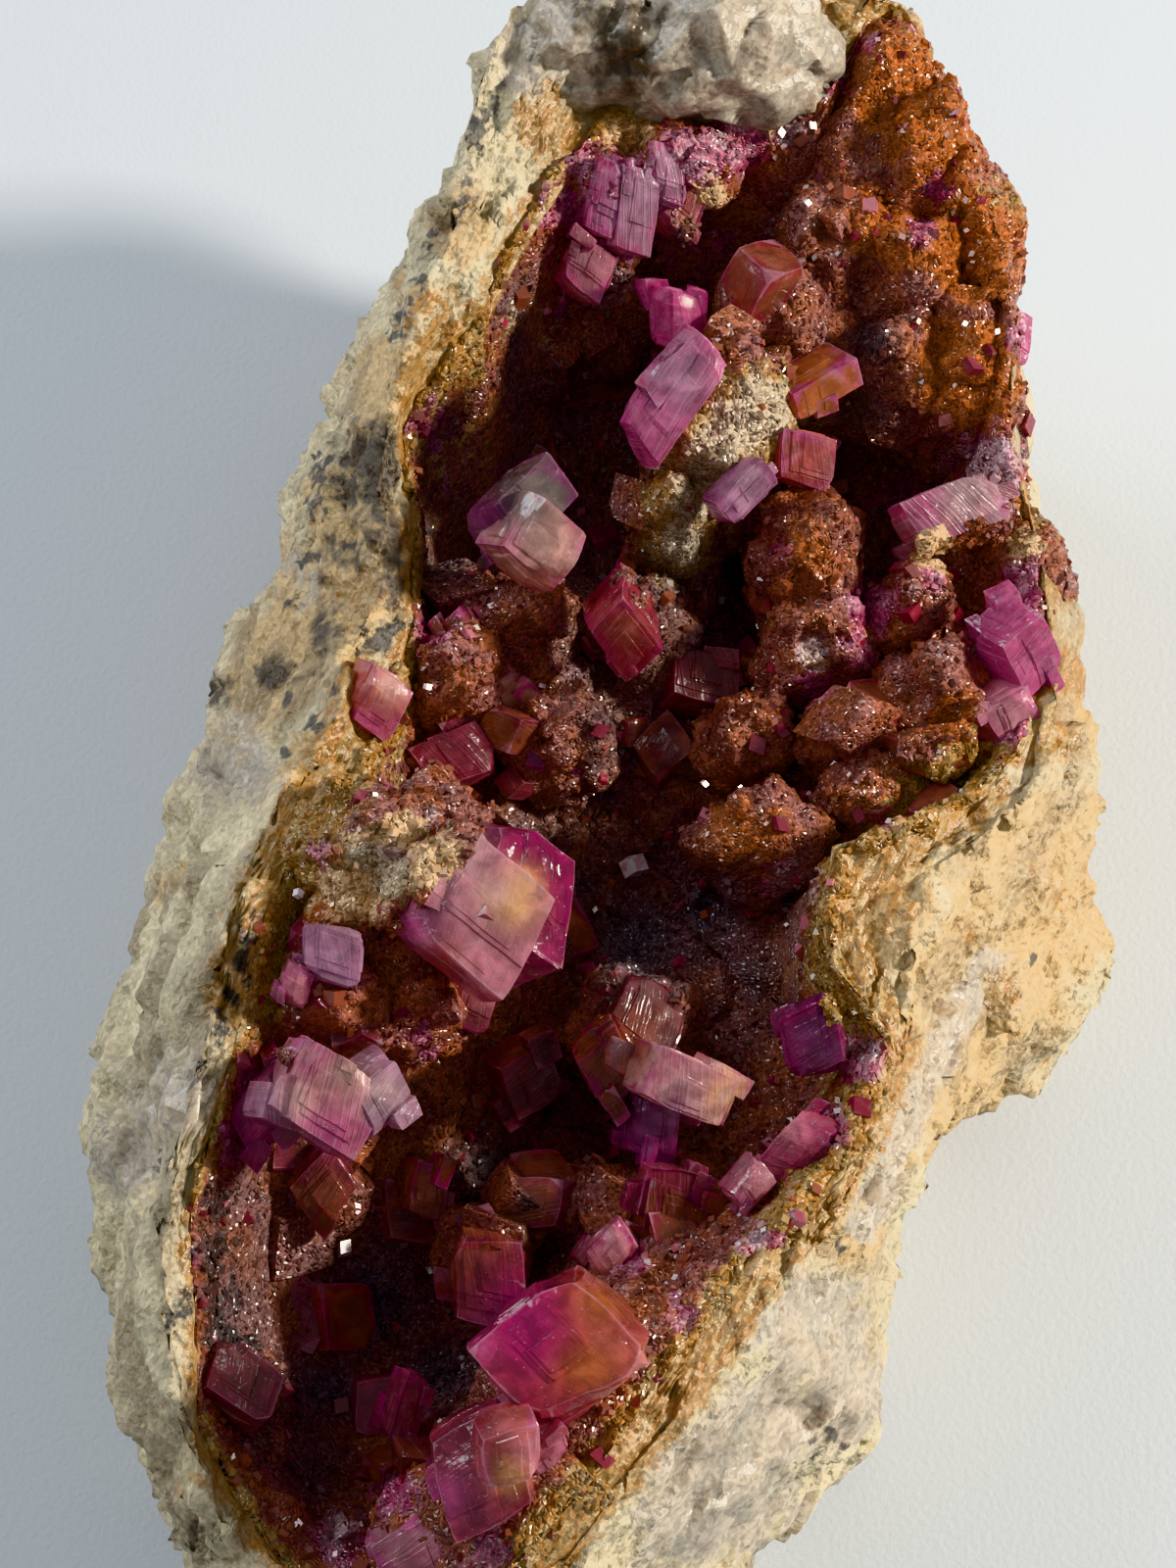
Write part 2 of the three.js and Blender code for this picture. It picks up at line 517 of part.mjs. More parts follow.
// The three edge directions of a rhomb whose obtuse corners meet, the first two in the face towards the viewer.
function rhombDirections(turn, [right, up]) {
  const c = Math.cos(OBTUSE);
  const s = Math.sin(OBTUSE);
  const sideways = (c - c * c) / s;
  const away = -Math.sqrt(1 - c * c - sideways * sideways);
  const picture = new THREE.Matrix4().makeBasis(RIGHT, UP, TOWARDS);
  const lean = new THREE.Matrix4().makeRotationFromEuler(
    new THREE.Euler(THREE.MathUtils.degToRad(-up), THREE.MathUtils.degToRad(right), 0),
  );
  const spin = new THREE.Matrix4().makeRotationZ(THREE.MathUtils.degToRad(turn));
  const frame = picture.multiply(lean).multiply(spin);
  const edges = [new THREE.Vector3(1, 0, 0), new THREE.Vector3(c, s, 0), new THREE.Vector3(c, sideways, away)];
  return edges.map((edge) => edge.transformDirection(frame));
}

// A parallelepiped about a middle point, each face pushed out by skin.
function rhombSolid(middle, directions, lengths, skin) {
  const [u, v, w] = directions.map((direction, i) => {
    const [a, b] = [directions[(i + 1) % 3], directions[(i + 2) % 3]];
    const normal = a.clone().cross(b).normalize();
    const thickness = lengths[i] * Math.abs(direction.dot(normal));
    return direction.clone().multiplyScalar((lengths[i] / 2) * (1 + (2 * skin) / thickness));
  });
  const box = new THREE.BoxGeometry(2, 2, 2);
  const place = box.attributes.position;
  const turned = u.clone().cross(v).dot(w) < 0;
  for (let i = 0; i < place.count; i += 1) {
    const [a, b, c] = [place.getX(i), place.getY(i), place.getZ(i) * (turned ? -1 : 1)];
    const p = middle.clone().addScaledVector(u, a).addScaledVector(v, b).addScaledVector(w, c);
    place.setXYZ(i, p.x, p.y, p.z);
  }
  return solidOf(box);
}

// One large rhomb: the main body and, on the largest ones, two thin plates that stand a little proud of its
// faces, as the mineral grows. Places and sizes are shares of the three edges.
const PLATES = [
  { at: [0.2, -0.16, -0.05], size: [0.56, 0.62, 0.92] },
  { at: [-0.22, 0.2, 0.03], size: [0.5, 0.52, 0.96] },
];
const PLATE_MIN_EDGE = 5;

function crystalSolid({ face, edges, turn, tilt }, skin = 0) {
  const directions = rhombDirections(turn, tilt);
  const middle = seen(...face).addScaledVector(directions[2], edges[2] / 2);
  let solid = rhombSolid(middle, directions, edges, skin);
  if (Math.min(edges[0], edges[1]) > PLATE_MIN_EDGE) {
    PLATES.forEach(({ at, size }) => {
      const centre = middle.clone();
      directions.forEach((direction, i) => centre.addScaledVector(direction, at[i] * edges[i]));
      solid = solid.add(rhombSolid(centre, directions, edges.map((edge, i) => edge * size[i]), skin));
    });
  }
  return solid;
}

// Small rhombs on the lumps' upper sides, at random but always the same.
function smallCrystals() {
  const { count, shortest, longest, lowest, highest, lean, seed } = SMALL_CRYSTALS;
  const lumps = [...KNOBS, ...SWELLS];
  const random = seededRandom(seed);
  return Array.from({ length: count }, (_, k) => {
    const [px, py, height, rx, ry, rz] = lumps[k % lumps.length];
    const bearing = 2 * Math.PI * random();
    const rise = lowest + (highest - lowest) * random();
    const side = Math.sqrt(1 - rise * rise);
    const middle = seen(px, py, height);
    middle.add(new THREE.Vector3(rx * side * Math.cos(bearing), ry * side * Math.sin(bearing), rz * rise));
    const edge = THREE.MathUtils.lerp(shortest, longest, random() ** 2);
    const directions = rhombDirections(360 * random(), [lean * (2 * random() - 1), lean * (2 * random() - 1)]);
    return rhombSolid(middle, directions, [edge, edge, edge], 0);
  });
}

function largestPiece(solid) {
  return solid.decompose().reduce((a, b) => (b.volume() > a.volume() ? b : a));
}

// Each cluster of rhombs that touch is one solid. Where two clusters would meet, the later one gives way.
const clusters = [];
for (const [name, rhombs] of Object.entries(CRYSTALS)) {
  const join = (skin) => rhombs.map((rhomb) => crystalSolid(rhomb, skin)).reduce((a, b) => a.add(b));
  let solid = join(0);
  clusters.forEach((earlier) => {
    solid = solid.subtract(earlier.grown);
  });
  clusters.push({ name, solid: largestPiece(solid), grown: join(GAP) });
}

// The rock gives way to the crystals, and the crust to the crystals and the rock.
let rock = rockSolid(0);
const knobs = KNOBS.map((knob) => knobSolid(knob));
let crust = [crustFilling(), ...knobs, ...smallCrystals()].reduce((a, b) => a.add(b));
crust = crust.subtract(rockSolid(GAP));
clusters.forEach(({ grown }) => {
  rock = rock.subtract(grown);
  crust = crust.subtract(grown);
});

const rockStone = new THREE.MeshStandardMaterial({ color: 0xb9a07c, roughness: 0.85, metalness: 0 });
const rustyDruse = new THREE.MeshStandardMaterial({ color: 0x7a3318, roughness: 0.45, metalness: 0 });
const pinkCrystal = new THREE.MeshStandardMaterial({ color: 0xc23a86, roughness: 0.12, metalness: 0 });

function meshOf(name, solid, material) {
  const { vertProperties, triVerts, numProp } = solid.getMesh();
  const geometry = new THREE.BufferGeometry();
  const positions = new Float32Array((vertProperties.length / numProp) * 3);
  for (let i = 0; i < positions.length / 3; i += 1) {
    positions.set(vertProperties.subarray(i * numProp, i * numProp + 3), i * 3);
  }
  geometry.setAttribute('position', new THREE.BufferAttribute(positions, 3));
  geometry.setIndex(new THREE.BufferAttribute(triVerts, 1));
  geometry.translate(-SLAB_MIDDLE.x, -SLAB_MIDDLE.y, 0);
  geometry.computeVertexNormals();
  const mesh = new THREE.Mesh(geometry, material);
  mesh.name = name;
  return mesh;
}

const specimen = new THREE.Group();
specimen.add(meshOf('matrix_rock', largestPiece(rock), rockStone));
specimen.add(meshOf('druse_crust', largestPiece(crust), rustyDruse));
clusters.forEach(({ name, solid }) => specimen.add(meshOf(`crystal_${name}`, solid, pinkCrystal)));

export default specimen;
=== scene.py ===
import itertools

import bpy
import numpy as np
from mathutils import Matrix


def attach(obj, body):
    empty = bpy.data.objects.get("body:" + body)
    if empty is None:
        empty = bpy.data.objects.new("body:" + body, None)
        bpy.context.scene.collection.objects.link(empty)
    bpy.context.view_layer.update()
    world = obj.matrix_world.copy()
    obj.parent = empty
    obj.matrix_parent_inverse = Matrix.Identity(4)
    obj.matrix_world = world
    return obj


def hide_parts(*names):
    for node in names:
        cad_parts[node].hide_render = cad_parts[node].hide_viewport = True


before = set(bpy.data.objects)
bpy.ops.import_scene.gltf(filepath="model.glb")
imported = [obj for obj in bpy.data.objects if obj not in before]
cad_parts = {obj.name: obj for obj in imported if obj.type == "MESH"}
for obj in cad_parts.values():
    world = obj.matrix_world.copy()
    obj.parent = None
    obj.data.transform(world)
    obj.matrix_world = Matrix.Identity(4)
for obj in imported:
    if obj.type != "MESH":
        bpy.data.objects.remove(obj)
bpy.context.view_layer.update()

MM = 0.001


# Studio. The specimen lies on a plain sheet of off-white paper. A low, warm, fairly small lamp stands on its
# right, as the evening sun does in the photograph, and a wide cool lamp above fills the shade.
VIEW_ELEVATION = np.radians(62)
VIEW_DISTANCE = 200.0
VIEW_AIM = np.array([-0.8, -4.4, 18.0])
VIEW_PIXEL = np.array([600.0, 800.0])
SLAB_MIDDLE = np.array([0.09, -6.69, 0.0])
PIXELS_PER_MM = 20.0
PHOTO_HEIGHT = 1600
RIGHT = np.array([1.0, 0, 0])
UP = np.array([0, np.sin(VIEW_ELEVATION), np.cos(VIEW_ELEVATION)])
TOWARDS = np.array([0, -np.cos(VIEW_ELEVATION), np.sin(VIEW_ELEVATION)])
EYE = VIEW_AIM + VIEW_DISTANCE * TOWARDS
FOCAL = PIXELS_PER_MM * VIEW_DISTANCE
SENSOR_WIDTH = 36
NEAREST_SEEN = 0.01
SHORTEST = 1e-12


def unit(vectors):
    """Vectors brought to length 1; one without length stays 0."""
    return vectors / np.maximum(np.linalg.norm(vectors, axis=-1, keepdims=True), SHORTEST)


def aim(thing, position, target):
    """Puts a lamp or the camera at a position in millimetres and turns its -Z axis towards the target. All
    positions are taken from the view's own origin, which lies off the slab's middle."""
    back = unit(np.subtract(position, target))
    side = unit(np.cross((0, 0, 1), back))
    turned = np.eye(4)
    turned[:3, :3] = np.stack([side, np.cross(back, side), back], 1)
    turned[:3, 3] = (position - SLAB_MIDDLE) * MM
    thing.matrix_world = turned.T.tolist()
    bpy.context.scene.collection.objects.link(thing)


lens = bpy.data.cameras.new("photograph_view")
lens.sensor_width = SENSOR_WIDTH
lens.lens = SENSOR_WIDTH * FOCAL / PHOTO_HEIGHT
lens.clip_start = NEAREST_SEEN
camera = bpy.data.objects.new("photograph_view", lens)
aim(camera, EYE, VIEW_AIM)
bpy.context.scene.camera = camera

LAMPS = {
    "low_sun": {"from": (325, -9, 208), "size": 42, "watts": 1.85, "colour": (1.0, 0.93, 0.82)},
    "left_window": {"from": (-300, 170, 260), "size": 260, "watts": 1.0, "colour": (0.94, 0.97, 1.0)},
}
LAMP_TARGET = (0, 0, 12)
for name, lamp in LAMPS.items():
    light = bpy.data.lights.new(name, "AREA")
    light.size = lamp["size"] * MM
    light.energy = lamp["watts"]
    light.color = lamp["colour"]
    aim(bpy.data.objects.new(name, light), lamp["from"], LAMP_TARGET)

ROOM_COLOUR = (0.90, 0.95, 1.0, 1)
ROOM_STRENGTH = 0.34
world = bpy.data.worlds.new("pale_room")
bpy.context.scene.world = world
world.use_nodes = True
walls = world.node_tree.nodes["Background"].inputs
walls["Color"].default_value = ROOM_COLOUR
walls["Strength"].default_value = ROOM_STRENGTH
bpy.context.scene.view_settings.view_transform = "Khronos PBR Neutral"


def shader(name, **values):
    """A new material's node tree and its Principled shader, with the shader's own sockets set by name."""
    material = bpy.data.materials.new(name)
    material.use_nodes = True
    surface = material.node_tree.nodes["Principled BSDF"]
    for socket, value in values.items():
        surface.inputs[socket.replace("_", " ")].default_value = value
    return material, material.node_tree, surface


def node(tree, kind, inputs=None, **settings):
    """One node of a kind, with its settings. Inputs are given as values or as the sockets that feed them."""
    made = tree.nodes.new(kind)
    for key, value in settings.items():
        setattr(made, key, value)
    for key, value in (inputs or {}).items():
        if isinstance(value, bpy.types.NodeSocket):
            tree.links.new(value, made.inputs[key])
        else:
            made.inputs[key].default_value = value
    return made


def noise(tree, step, detail=4.0, **inputs):
    """Cloudy noise about one step wide, in millimetres, on the piece's own coordinates."""
    place = node(tree, "ShaderNodeTexCoord").outputs["Object"]
    settings = {"Vector": place, "Scale": 1 / (step * MM), "Detail": detail, **inputs}
    return node(tree, "ShaderNodeTexNoise", settings).outputs["Fac"]


def roughen(tree, surface, height, depth, strength, normal=None):
    """Links a bump to the shader, as deep as the depth in millimetres where the height goes from 0 to 1. It
    lies on the normal of the grains' facets, if that is given."""
    bump = node(tree, "ShaderNodeBump", {"Height": height, "Distance": depth * MM, "Strength": strength})
    if normal is not None:
        tree.links.new(normal, bump.inputs["Normal"])
    tree.links.new(bump.outputs["Normal"], surface.inputs["Normal"])


PAPER_GRAIN = 0.35
PAPER_COLOUR = (0.63, 0.67, 0.71, 1)
PAPER_REACH = 4

paper, tree, surface = shader("off_white_paper", Roughness=0.9)
surface.inputs["Base Color"].default_value = PAPER_COLOUR
roughen(tree, surface, noise(tree, PAPER_GRAIN), 0.06, 0.6)
sheet = bpy.data.meshes.new("paper")
paper_corners = PAPER_REACH * np.array([(-1, -1, 0), (1, -1, 0), (1, 1, 0), (-1, 1, 0)])
sheet.from_pydata(paper_corners.tolist(), [], [(0, 1, 2, 3)])
sheet.materials.append(paper)
floor = bpy.data.objects.new("paper", sheet)
bpy.context.scene.collection.objects.link(floor)


# Matrix rock. A slab of massive grey-white dolomite, tan and rusty where it weathered, broken out of the vein
# by hand. Its foot is flat, its flanks are rough fractures, and its lip is a band of sugary brown grains.
WAIST_HEIGHT = 8
WAIST = [
    (740, 290), (860, 312), (935, 328), (985, 345), (1012, 400), (1036, 480), (1085, 640), (1097, 720),
    (1122, 880), (1135, 965), (1115, 1018), (1010, 1120), (955, 1160), (915, 1270), (900, 1400),
    (885, 1470), (790, 1570), (700, 1660), (600, 1720), (480, 1745), (350, 1725), (250, 1670),
    (150, 1510), (122, 1340), (87, 1190), (125, 1020), (172, 860), (203, 735), (215, 680), (280, 600),
    (325, 460), (372, 338), (403, 285), (440, 262), (520, 262), (640, 275),
]
CREST = [
    (740, -22, 33), (850, -10, 32), (922, 5, 30), (950, 60, 28), (978, 130, 27), (1020, 240, 25),
    (1034, 340, 24), (1030, 450, 21), (1060, 560, 20), (1080, 680, 20), (1062, 790, 20.5), (960, 880, 21.5),
    (930, 970, 21.5), (935, 1050, 21), (880, 1190, 21), (800, 1310, 22), (715, 1410, 22.5), (640, 1500, 22),
    (540, 1640, 19), (470, 1680, 17), (380, 1685, 15), (300, 1640, 15), (230, 1560, 16), (178, 1420, 19),
    (163, 1240, 21), (205, 1080, 23.2), (235, 930, 25.2), (262, 860, 25.3), (345, 730, 23), (388, 600, 22),
    (385, 500, 23), (415, 366, 26), (460, 240, 28), (478, 150, 29), (492, 70, 30), (525, 5, 31),
    (575, -18, 32), (660, -26, 33),
]
CRUST_LAP = 0.5
POCKET = [
    (730, 122, 26), (800, 112, 27), (852, 85, 28.5), (880, 25, 29.5, 0.6), (912, 12, 29.5, 0.6),
    (932, 65, 28, 1.2), (962, 130, 27, 1.3), (1018, 240, 25, 1.6), (1032, 340, 24, 1.6), (1027, 450, 21, 1.5),
    (1050, 560, 19.5, 0.8), (1066, 680, 19.5), (1035, 770, 20), (985, 815, 20.5), (920, 840, 22, 1),
    (858, 868, 22, 1.6), (845, 930, 22, 2), (852, 990, 21.5, 1.8), (905, 1060, 21.3, 1.4),
    (860, 1170, 21.3, 1.3), (770, 1280, 22, 1.1), (690, 1380, 22.6, 0.9), (630, 1470, 22.6, 0.7),
    (520, 1600, 21, 0.6), (440, 1650, 16), (360, 1650, 14), (290, 1600, 14), (207, 1460, 17), (197, 1310, 19),
    (195, 1240, 20), (240, 1080, 22.6), (266, 950, 24.8), (296, 880, 24.8), (352, 835, 24, 0.8),
    (392, 740, 21, 0.8), (425, 640, 20.5), (425, 540, 20.5), (412, 440, 22, 1), (490, 330, 25, 1),
    (560, 190, 27, 1), (620, 125, 27),
]
ELLIPSE = np.array([25.0, 42.0])


def seen(px, py, height):
    """The point that shows at a pixel of the photograph: where that pixel's ray meets the level height."""
    ray = -TOWARDS + RIGHT * (px - VIEW_PIXEL[0]) / FOCAL + UP * (VIEW_PIXEL[1] - py) / FOCAL
    return EYE + ray * (height - EYE[2]) / ray[2]


def pixel_of(points):
    """The pixel at which a point shows: its sideways and upward distance from the eye, over its depth."""
    away = points - EYE
    depth = -(away @ TOWARDS)
    return VIEW_PIXEL + FOCAL * np.stack([away @ RIGHT, -(away @ UP)], -1) / depth[..., None]


AXIS = seen(600, 830, 12)


def round_axis(points):
    """Where places lie round the axis: how far out, as a share of the ellipse, and at which angle."""
    offset = (points[..., :2] - AXIS[:2]) / ELLIPSE
    return np.hypot(offset[..., 0], offset[..., 1]), np.arctan2(offset[..., 1], offset[..., 0])


def outline(rows):
    """The edge through listed points as a function of the angle round the axis: distance as a share of
    the ellipse, height and lap, each running straight from one point to the next."""
    full = [row + (WAIST_HEIGHT, CRUST_LAP)[len(row) - 2:] for row in rows]
    knots = np.array([(*seen(*row[:3])[:2], row[2], row[3]) for row in full])
    reach, angle = round_axis(knots)
    order = np.argsort(angle)
    values = reach, knots[:, 2], knots[:, 3]
    return lambda where: [np.interp(where, angle[order], value[order], period=2 * np.pi) for value in values]


waist_at, crest_at, pocket_at = outline(WAIST), outline(CREST), outline(POCKET)


def rough(points, step):
    """Three crossed ripples that bend each other, from -1 to 1, as wide as a few steps."""
    x, y, z = np.moveaxis(points / step, -1, 0)
    a = np.sin(x + 1.7 * np.sin(0.83 * y + 0.6) + 0.41 * z)
    b = np.sin(1.13 * y + 1.3 * np.sin(0.91 * z + 2.1) - 0.37 * x)
    c = np.sin(0.97 * z + 1.5 * np.sin(1.07 * x + 4) + 0.29 * y)
    return (a + b + c) / 3


def hashed(cell, seed):
    """A random number from 0 to 1 for each whole-number cell: its three numbers are multiplied by primes,
    crossed and folded twice."""
    x, y, z = np.moveaxis(cell.astype(np.int64), -1, 0)
    mixed = (x * 73856093) ^ (y * 19349663) ^ (z * 83492791) ^ (seed * 2654435761)
    for _ in range(2):
        mixed = ((mixed & 0xFFFFFFFF) ^ ((mixed & 0xFFFFFFFF) >> 16)) * 0x45D9F3B
    return ((mixed & 0xFFFFFFFF) >> 8) / 2**24


def grains(points, step, seed):
    """Space is cut into grains about one step wide, each round a random point. For each place: how near the
    middle of its grain is, how far the next grain is, the height of a plane that leans at random through the
    grain's middle, and the grain's own random number."""
    scaled = points / step
    base = np.floor(scaled)
    near = np.full(points.shape[:-1], 9.0)
    second, lean, chance = near.copy(), np.zeros_like(near), np.zeros_like(near)
    for offset in itertools.product((-1, 0, 1), repeat=3):
        cell = base + offset
        away = scaled - cell - np.stack([hashed(cell, seed + k) for k in range(3)], -1)
        far = np.linalg.norm(away, axis=-1)
        closer = far < near
        second = np.where(closer, near, np.minimum(second, far))
        near = np.where(closer, far, near)
        tilt = sum(away[..., k] * (2 * hashed(cell, seed + 3 + k) - 1) for k in range(3))
        lean = np.where(closer, tilt, lean)
        chance = np.where(closer, hashed(cell, seed + 6), chance)
    return near, second - near, lean, chance


def cloudy(points, step, seed):
    """Smooth noise from -1 to 1: random numbers at the corners of a lattice, blended by smooth weights."""
    scaled = points / step
    base = np.floor(scaled)
    share = scaled - base
    share = share * share * (3 - 2 * share)
    total = np.zeros(points.shape[:-1])
    for corner in itertools.product((0, 1), repeat=3):
        weight = np.prod(np.where(corner, share, 1 - share), -1)
        total += weight * hashed(base + corner, seed)
    return 2 * total - 1


def around(angle, reach, height):
    """A point at an angle round the axis, a reach as a share of the ellipse, and a height."""
    x = AXIS[0] + ELLIPSE[0] * reach * np.cos(angle)
    y = AXIS[1] + ELLIPSE[1] * reach * np.sin(angle)
    return np.stack(np.broadcast_arrays(x, y, height), -1)


def outward(angle, distance):
    """A distance in millimetres as a share of the ellipse's radius on that side."""
    return distance / np.hypot(ELLIPSE[0] * np.cos(angle), ELLIPSE[1] * np.sin(angle))


def blend(start, end, share):
    """The value that share of the way from start to end."""
    return start + (end - start) * share


def ease(value, low, high):
    """0 up to low, 1 from high on, and a smooth step between them."""
    share = np.clip((value - low) / (high - low), 0, 1)
    return share * share * (3 - 2 * share)


def normals(rows):
    """The outward directions of a grid of rings: the step along a ring crossed with the step to the next."""
    along = np.roll(rows, -1, 1) - np.roll(rows, 1, 1)
    up = np.gradient(rows, axis=0)
    return unit(np.cross(along, up))


def closed(rows):
    """Points and faces of a skin of rings that closes to one point below its first ring and one above its
    last. A ring is one row of the grid, and joins its own start."""
    count, spokes = rows.shape[:2]
    points = np.concatenate([rows.reshape(-1, 3), [rows[0].mean(0), rows[-1].mean(0)]])
    index = np.arange(count * spokes).reshape(count, spokes)
    after = np.roll(index, -1, 1)
    quads = np.stack([index[:-1], after[:-1], after[1:], index[1:]], -1).reshape(-1, 4)
    low, high = np.full(spokes, count * spokes), np.full(spokes, count * spokes + 1)
    caps = np.concatenate([np.stack([low, after[0], index[0]], 1), np.stack([high, index[-1], after[-1]], 1)])
    return points, quads, caps


def piece(name, points, quads, caps, material, slot, smooth=True, **marks):
    """A new piece from points in millimetres, four-sided and three-sided faces, and its marks: one number or
    one colour for each point, which the material reads by name."""
    mesh = bpy.data.meshes.new(name)
    mesh.vertices.add(len(points))
    mesh.vertices.foreach_set("co", ((points - SLAB_MIDDLE) * MM).astype(np.float32).ravel())
    corners = np.concatenate([quads.ravel(), caps.ravel()]).astype(np.int32)
    mesh.loops.add(len(corners))
    mesh.loops.foreach_set("vertex_index", corners)
    sides = np.concatenate([np.full(len(quads), 4), np.full(len(caps), 3)])
    mesh.polygons.add(len(sides))
    mesh.polygons.foreach_set("loop_start", (np.cumsum(sides) - sides).astype(np.int32))
    mesh.polygons.foreach_set("use_smooth", np.full(len(sides), smooth))
    for mark, values in marks.items():
        coloured = np.ndim(values) == 2
        layer = mesh.attributes.new(mark, "FLOAT_COLOR" if coloured else "FLOAT", "POINT")
        if coloured:
            values = np.concatenate([values, np.ones((len(values), 1))], 1)
        layer.data.foreach_set("color" if coloured else "value", values.astype(np.float32).ravel())
    mesh.update(calc_edges=True)
    mesh.validate()
    mesh.materials.append(material)
    made = bpy.data.objects.new(name, mesh)
    bpy.context.scene.collection.objects.link(made)
    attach(made, "root")
    return made


def patches(points, rows):
    """How strongly places are marked: each row is a pixel, a radius in millimetres and a strength, and fades
    as a bell curve of the distance to that pixel's ray."""
    pixels = pixel_of(points)
    strongest = np.zeros(points.shape[:-1])
    for px, py, radius, strength in rows:
        far = np.linalg.norm(pixels - (px, py), axis=-1) / PIXELS_PER_MM
        strongest = np.maximum(strongest, strength * np.exp(-((far / radius) ** 2)))
    return strongest


def ribbon(points, line, width):
    """How near places are to a line through pixels: 1 on it, fading as a bell curve of the distance in
    millimetres to the nearest of its straight stretches."""
    pixels = pixel_of(points)
    nearest = np.full(points.shape[:-1], np.inf)
    for start, end in zip(line[:-1], line[1:]):
        way = np.subtract(end, start)
        share = np.clip((pixels - start) @ way / (way @ way), 0, 1)
        nearest = np.minimum(nearest, np.linalg.norm(pixels - start - share[..., None] * way, axis=-1))
    return np.exp(-((nearest / PIXELS_PER_MM / width) ** 2))


def ridged(points, step, seed):
    """Relief of a break from 0 to 1: smooth hollows that meet in crests where cloudy noise changes sign."""
    return (1 - np.abs(cloudy(points, step, seed))) ** 2


FIBRE_TURN = np.radians(65)


def fibred(points, stretch):
    """Places turned so that the rock's fibres run along the first axis, which is then pressed together by the
    stretch: noise on them is that much longer along the fibres."""
    c, s = np.cos(FIBRE_TURN), np.sin(FIBRE_TURN)
    x, y, z = np.moveaxis(points, -1, 0)
    return np.stack([(c * x + s * y) / stretch, c * y - s * x, z], -1)


VALLEYS = [
    (850, 130, 27), (760, 170, 24), (930, 130, 26.5), (980, 240, 24), (1010, 400, 20), (600, 220, 22),
    (690, 270, 18), (560, 330, 17), (800, 300, 20), (700, 340, 13), (900, 330, 19), (480, 420, 13),
    (450, 520, 8), (590, 430, 11), (870, 450, 10), (520, 620, 14), (640, 560, 12), (760, 580, 13),
    (900, 560, 10), (1000, 560, 16), (1030, 680, 17), (420, 660, 17), (400, 760, 16), (560, 720, 15),
    (700, 740, 13.5), (840, 740, 14), (980, 760, 17), (330, 900, 23.6), (450, 880, 18), (285, 960, 23.8),
    (560, 860, 10), (650, 900, 8.5), (760, 840, 12), (830, 930, 14), (710, 980, 9), (300, 1020, 22.2),
    (430, 1050, 14), (550, 1080, 10), (660, 1100, 12), (790, 1010, 13), (850, 1110, 17), (240, 1130, 20),
    (340, 1200, 13), (450, 1190, 10), (580, 1180, 8.5), (700, 1210, 13), (790, 1210, 17), (225, 1270, 15),
    (330, 1320, 9), (450, 1330, 8), (570, 1320, 14), (680, 1345, 22), (225, 1420, 13), (330, 1440, 7.5),
    (420, 1470, 8.5), (520, 1450, 20), (620, 1440, 24.3), (270, 1550, 11), (390, 1580, 10), (530, 1555, 22.8),
    (760, 1262, 20.8), (700, 1310, 21), (590, 1500, 24.2), (565, 1545, 23.4), (650, 1395, 24.0),
]
VALLEY_REACH = 3.2
WALL_SHARE = 0.15
ROCK_SPOKES = 570
UNDERCUT = 3.2
BULGE = 1.1
WEATHERING = 0.9
CRUST_THICKNESS = 2
CRUST_GAP = 0.6
FOOT_REACH = 14
FOOT_TURN = 3
FLANK_ROWS = 60
LIP_ROWS = 30
BARE_ROWS = 13


def ring_angles(count):
    """The angles of a ring's points, evenly spaced all round."""
    return -np.pi + 2 * np.pi * (np.arange(count) + 0.5) / count


spokes = ring_angles(ROCK_SPOKES)
waist, crest, pocket = (at(spokes) for at in (waist_at, crest_at, pocket_at))


def weathered(points, strength):
    """The slab's broad bumps: pushed out from the axis, and half as much up, by two sizes of ripple."""
    calm = blend(1.0, 0.45, ease(-points[..., 0], -4, 8))
    bump = strength * WEATHERING * calm * (rough(points, 2.3) + 0.5 * rough(points, 1.1))
    push = outward(spokes, bump)
    moved = points.copy()
    moved[..., 0] += ELLIPSE[0] * push * np.cos(spokes)
    moved[..., 1] += ELLIPSE[1] * push * np.sin(spokes)
    moved[..., 2] += 0.5 * strength * bump
    return moved


def foot_row(inset, height, strength):
    """A ring inside the waist, at a set height."""
    ring = weathered(around(spokes, waist[0] - outward(spokes, inset), height), strength)
    ring[..., 2] = height
    return ring


def flank_row(share):
    """A ring on the flank, that share of the way from the waist to the crest, swollen in the middle. Its
    bumps fade towards the crest, where the lip begins."""
    bulge = outward(spokes, BULGE * np.sin(np.pi * share)) * blend(1, 0.5, ease(np.cos(spokes), 0.3, 0.9))
    reach = blend(waist[0], crest[0], share) + bulge
    return weathered(around(spokes, reach, blend(WAIST_HEIGHT, crest[1], share)), 1 - ease(share, 0.8, 1))


def lip_row(share):
    """A ring on the lip, that share of the way from the crest to the pocket's edge."""
    ring = around(spokes, blend(crest[0], pocket[0], share), blend(crest[1], pocket[1], share))
    ring[..., 2] += (1 - share) * 0.4 * rough(ring, 1.6)
    return ring


def valley_height(places):
    """The crust's valleys as one smooth surface: the mean of the marked heights, weighted by nearness."""
    marked = np.array([seen(*row) for row in VALLEYS])
    far = ((places[..., None, :2] - marked[:, :2]) ** 2).sum(-1)
    weight = np.exp(-far / (2 * VALLEY_REACH**2)) + 1e-12
    return (weight * marked[:, 2]).sum(-1) / weight.sum(-1)


def pocket_row(share):
    """A ring of the pocket's bare bottom under the crust, that share of the way from edge to middle."""
    ring = around(spokes, pocket[0] * (1 - share), 0.0)
    bottom = valley_height(ring) - CRUST_THICKNESS
    ring[..., 2] = blend(pocket[1], bottom, ease(share, 0, WALL_SHARE)) - CRUST_GAP
    return ring


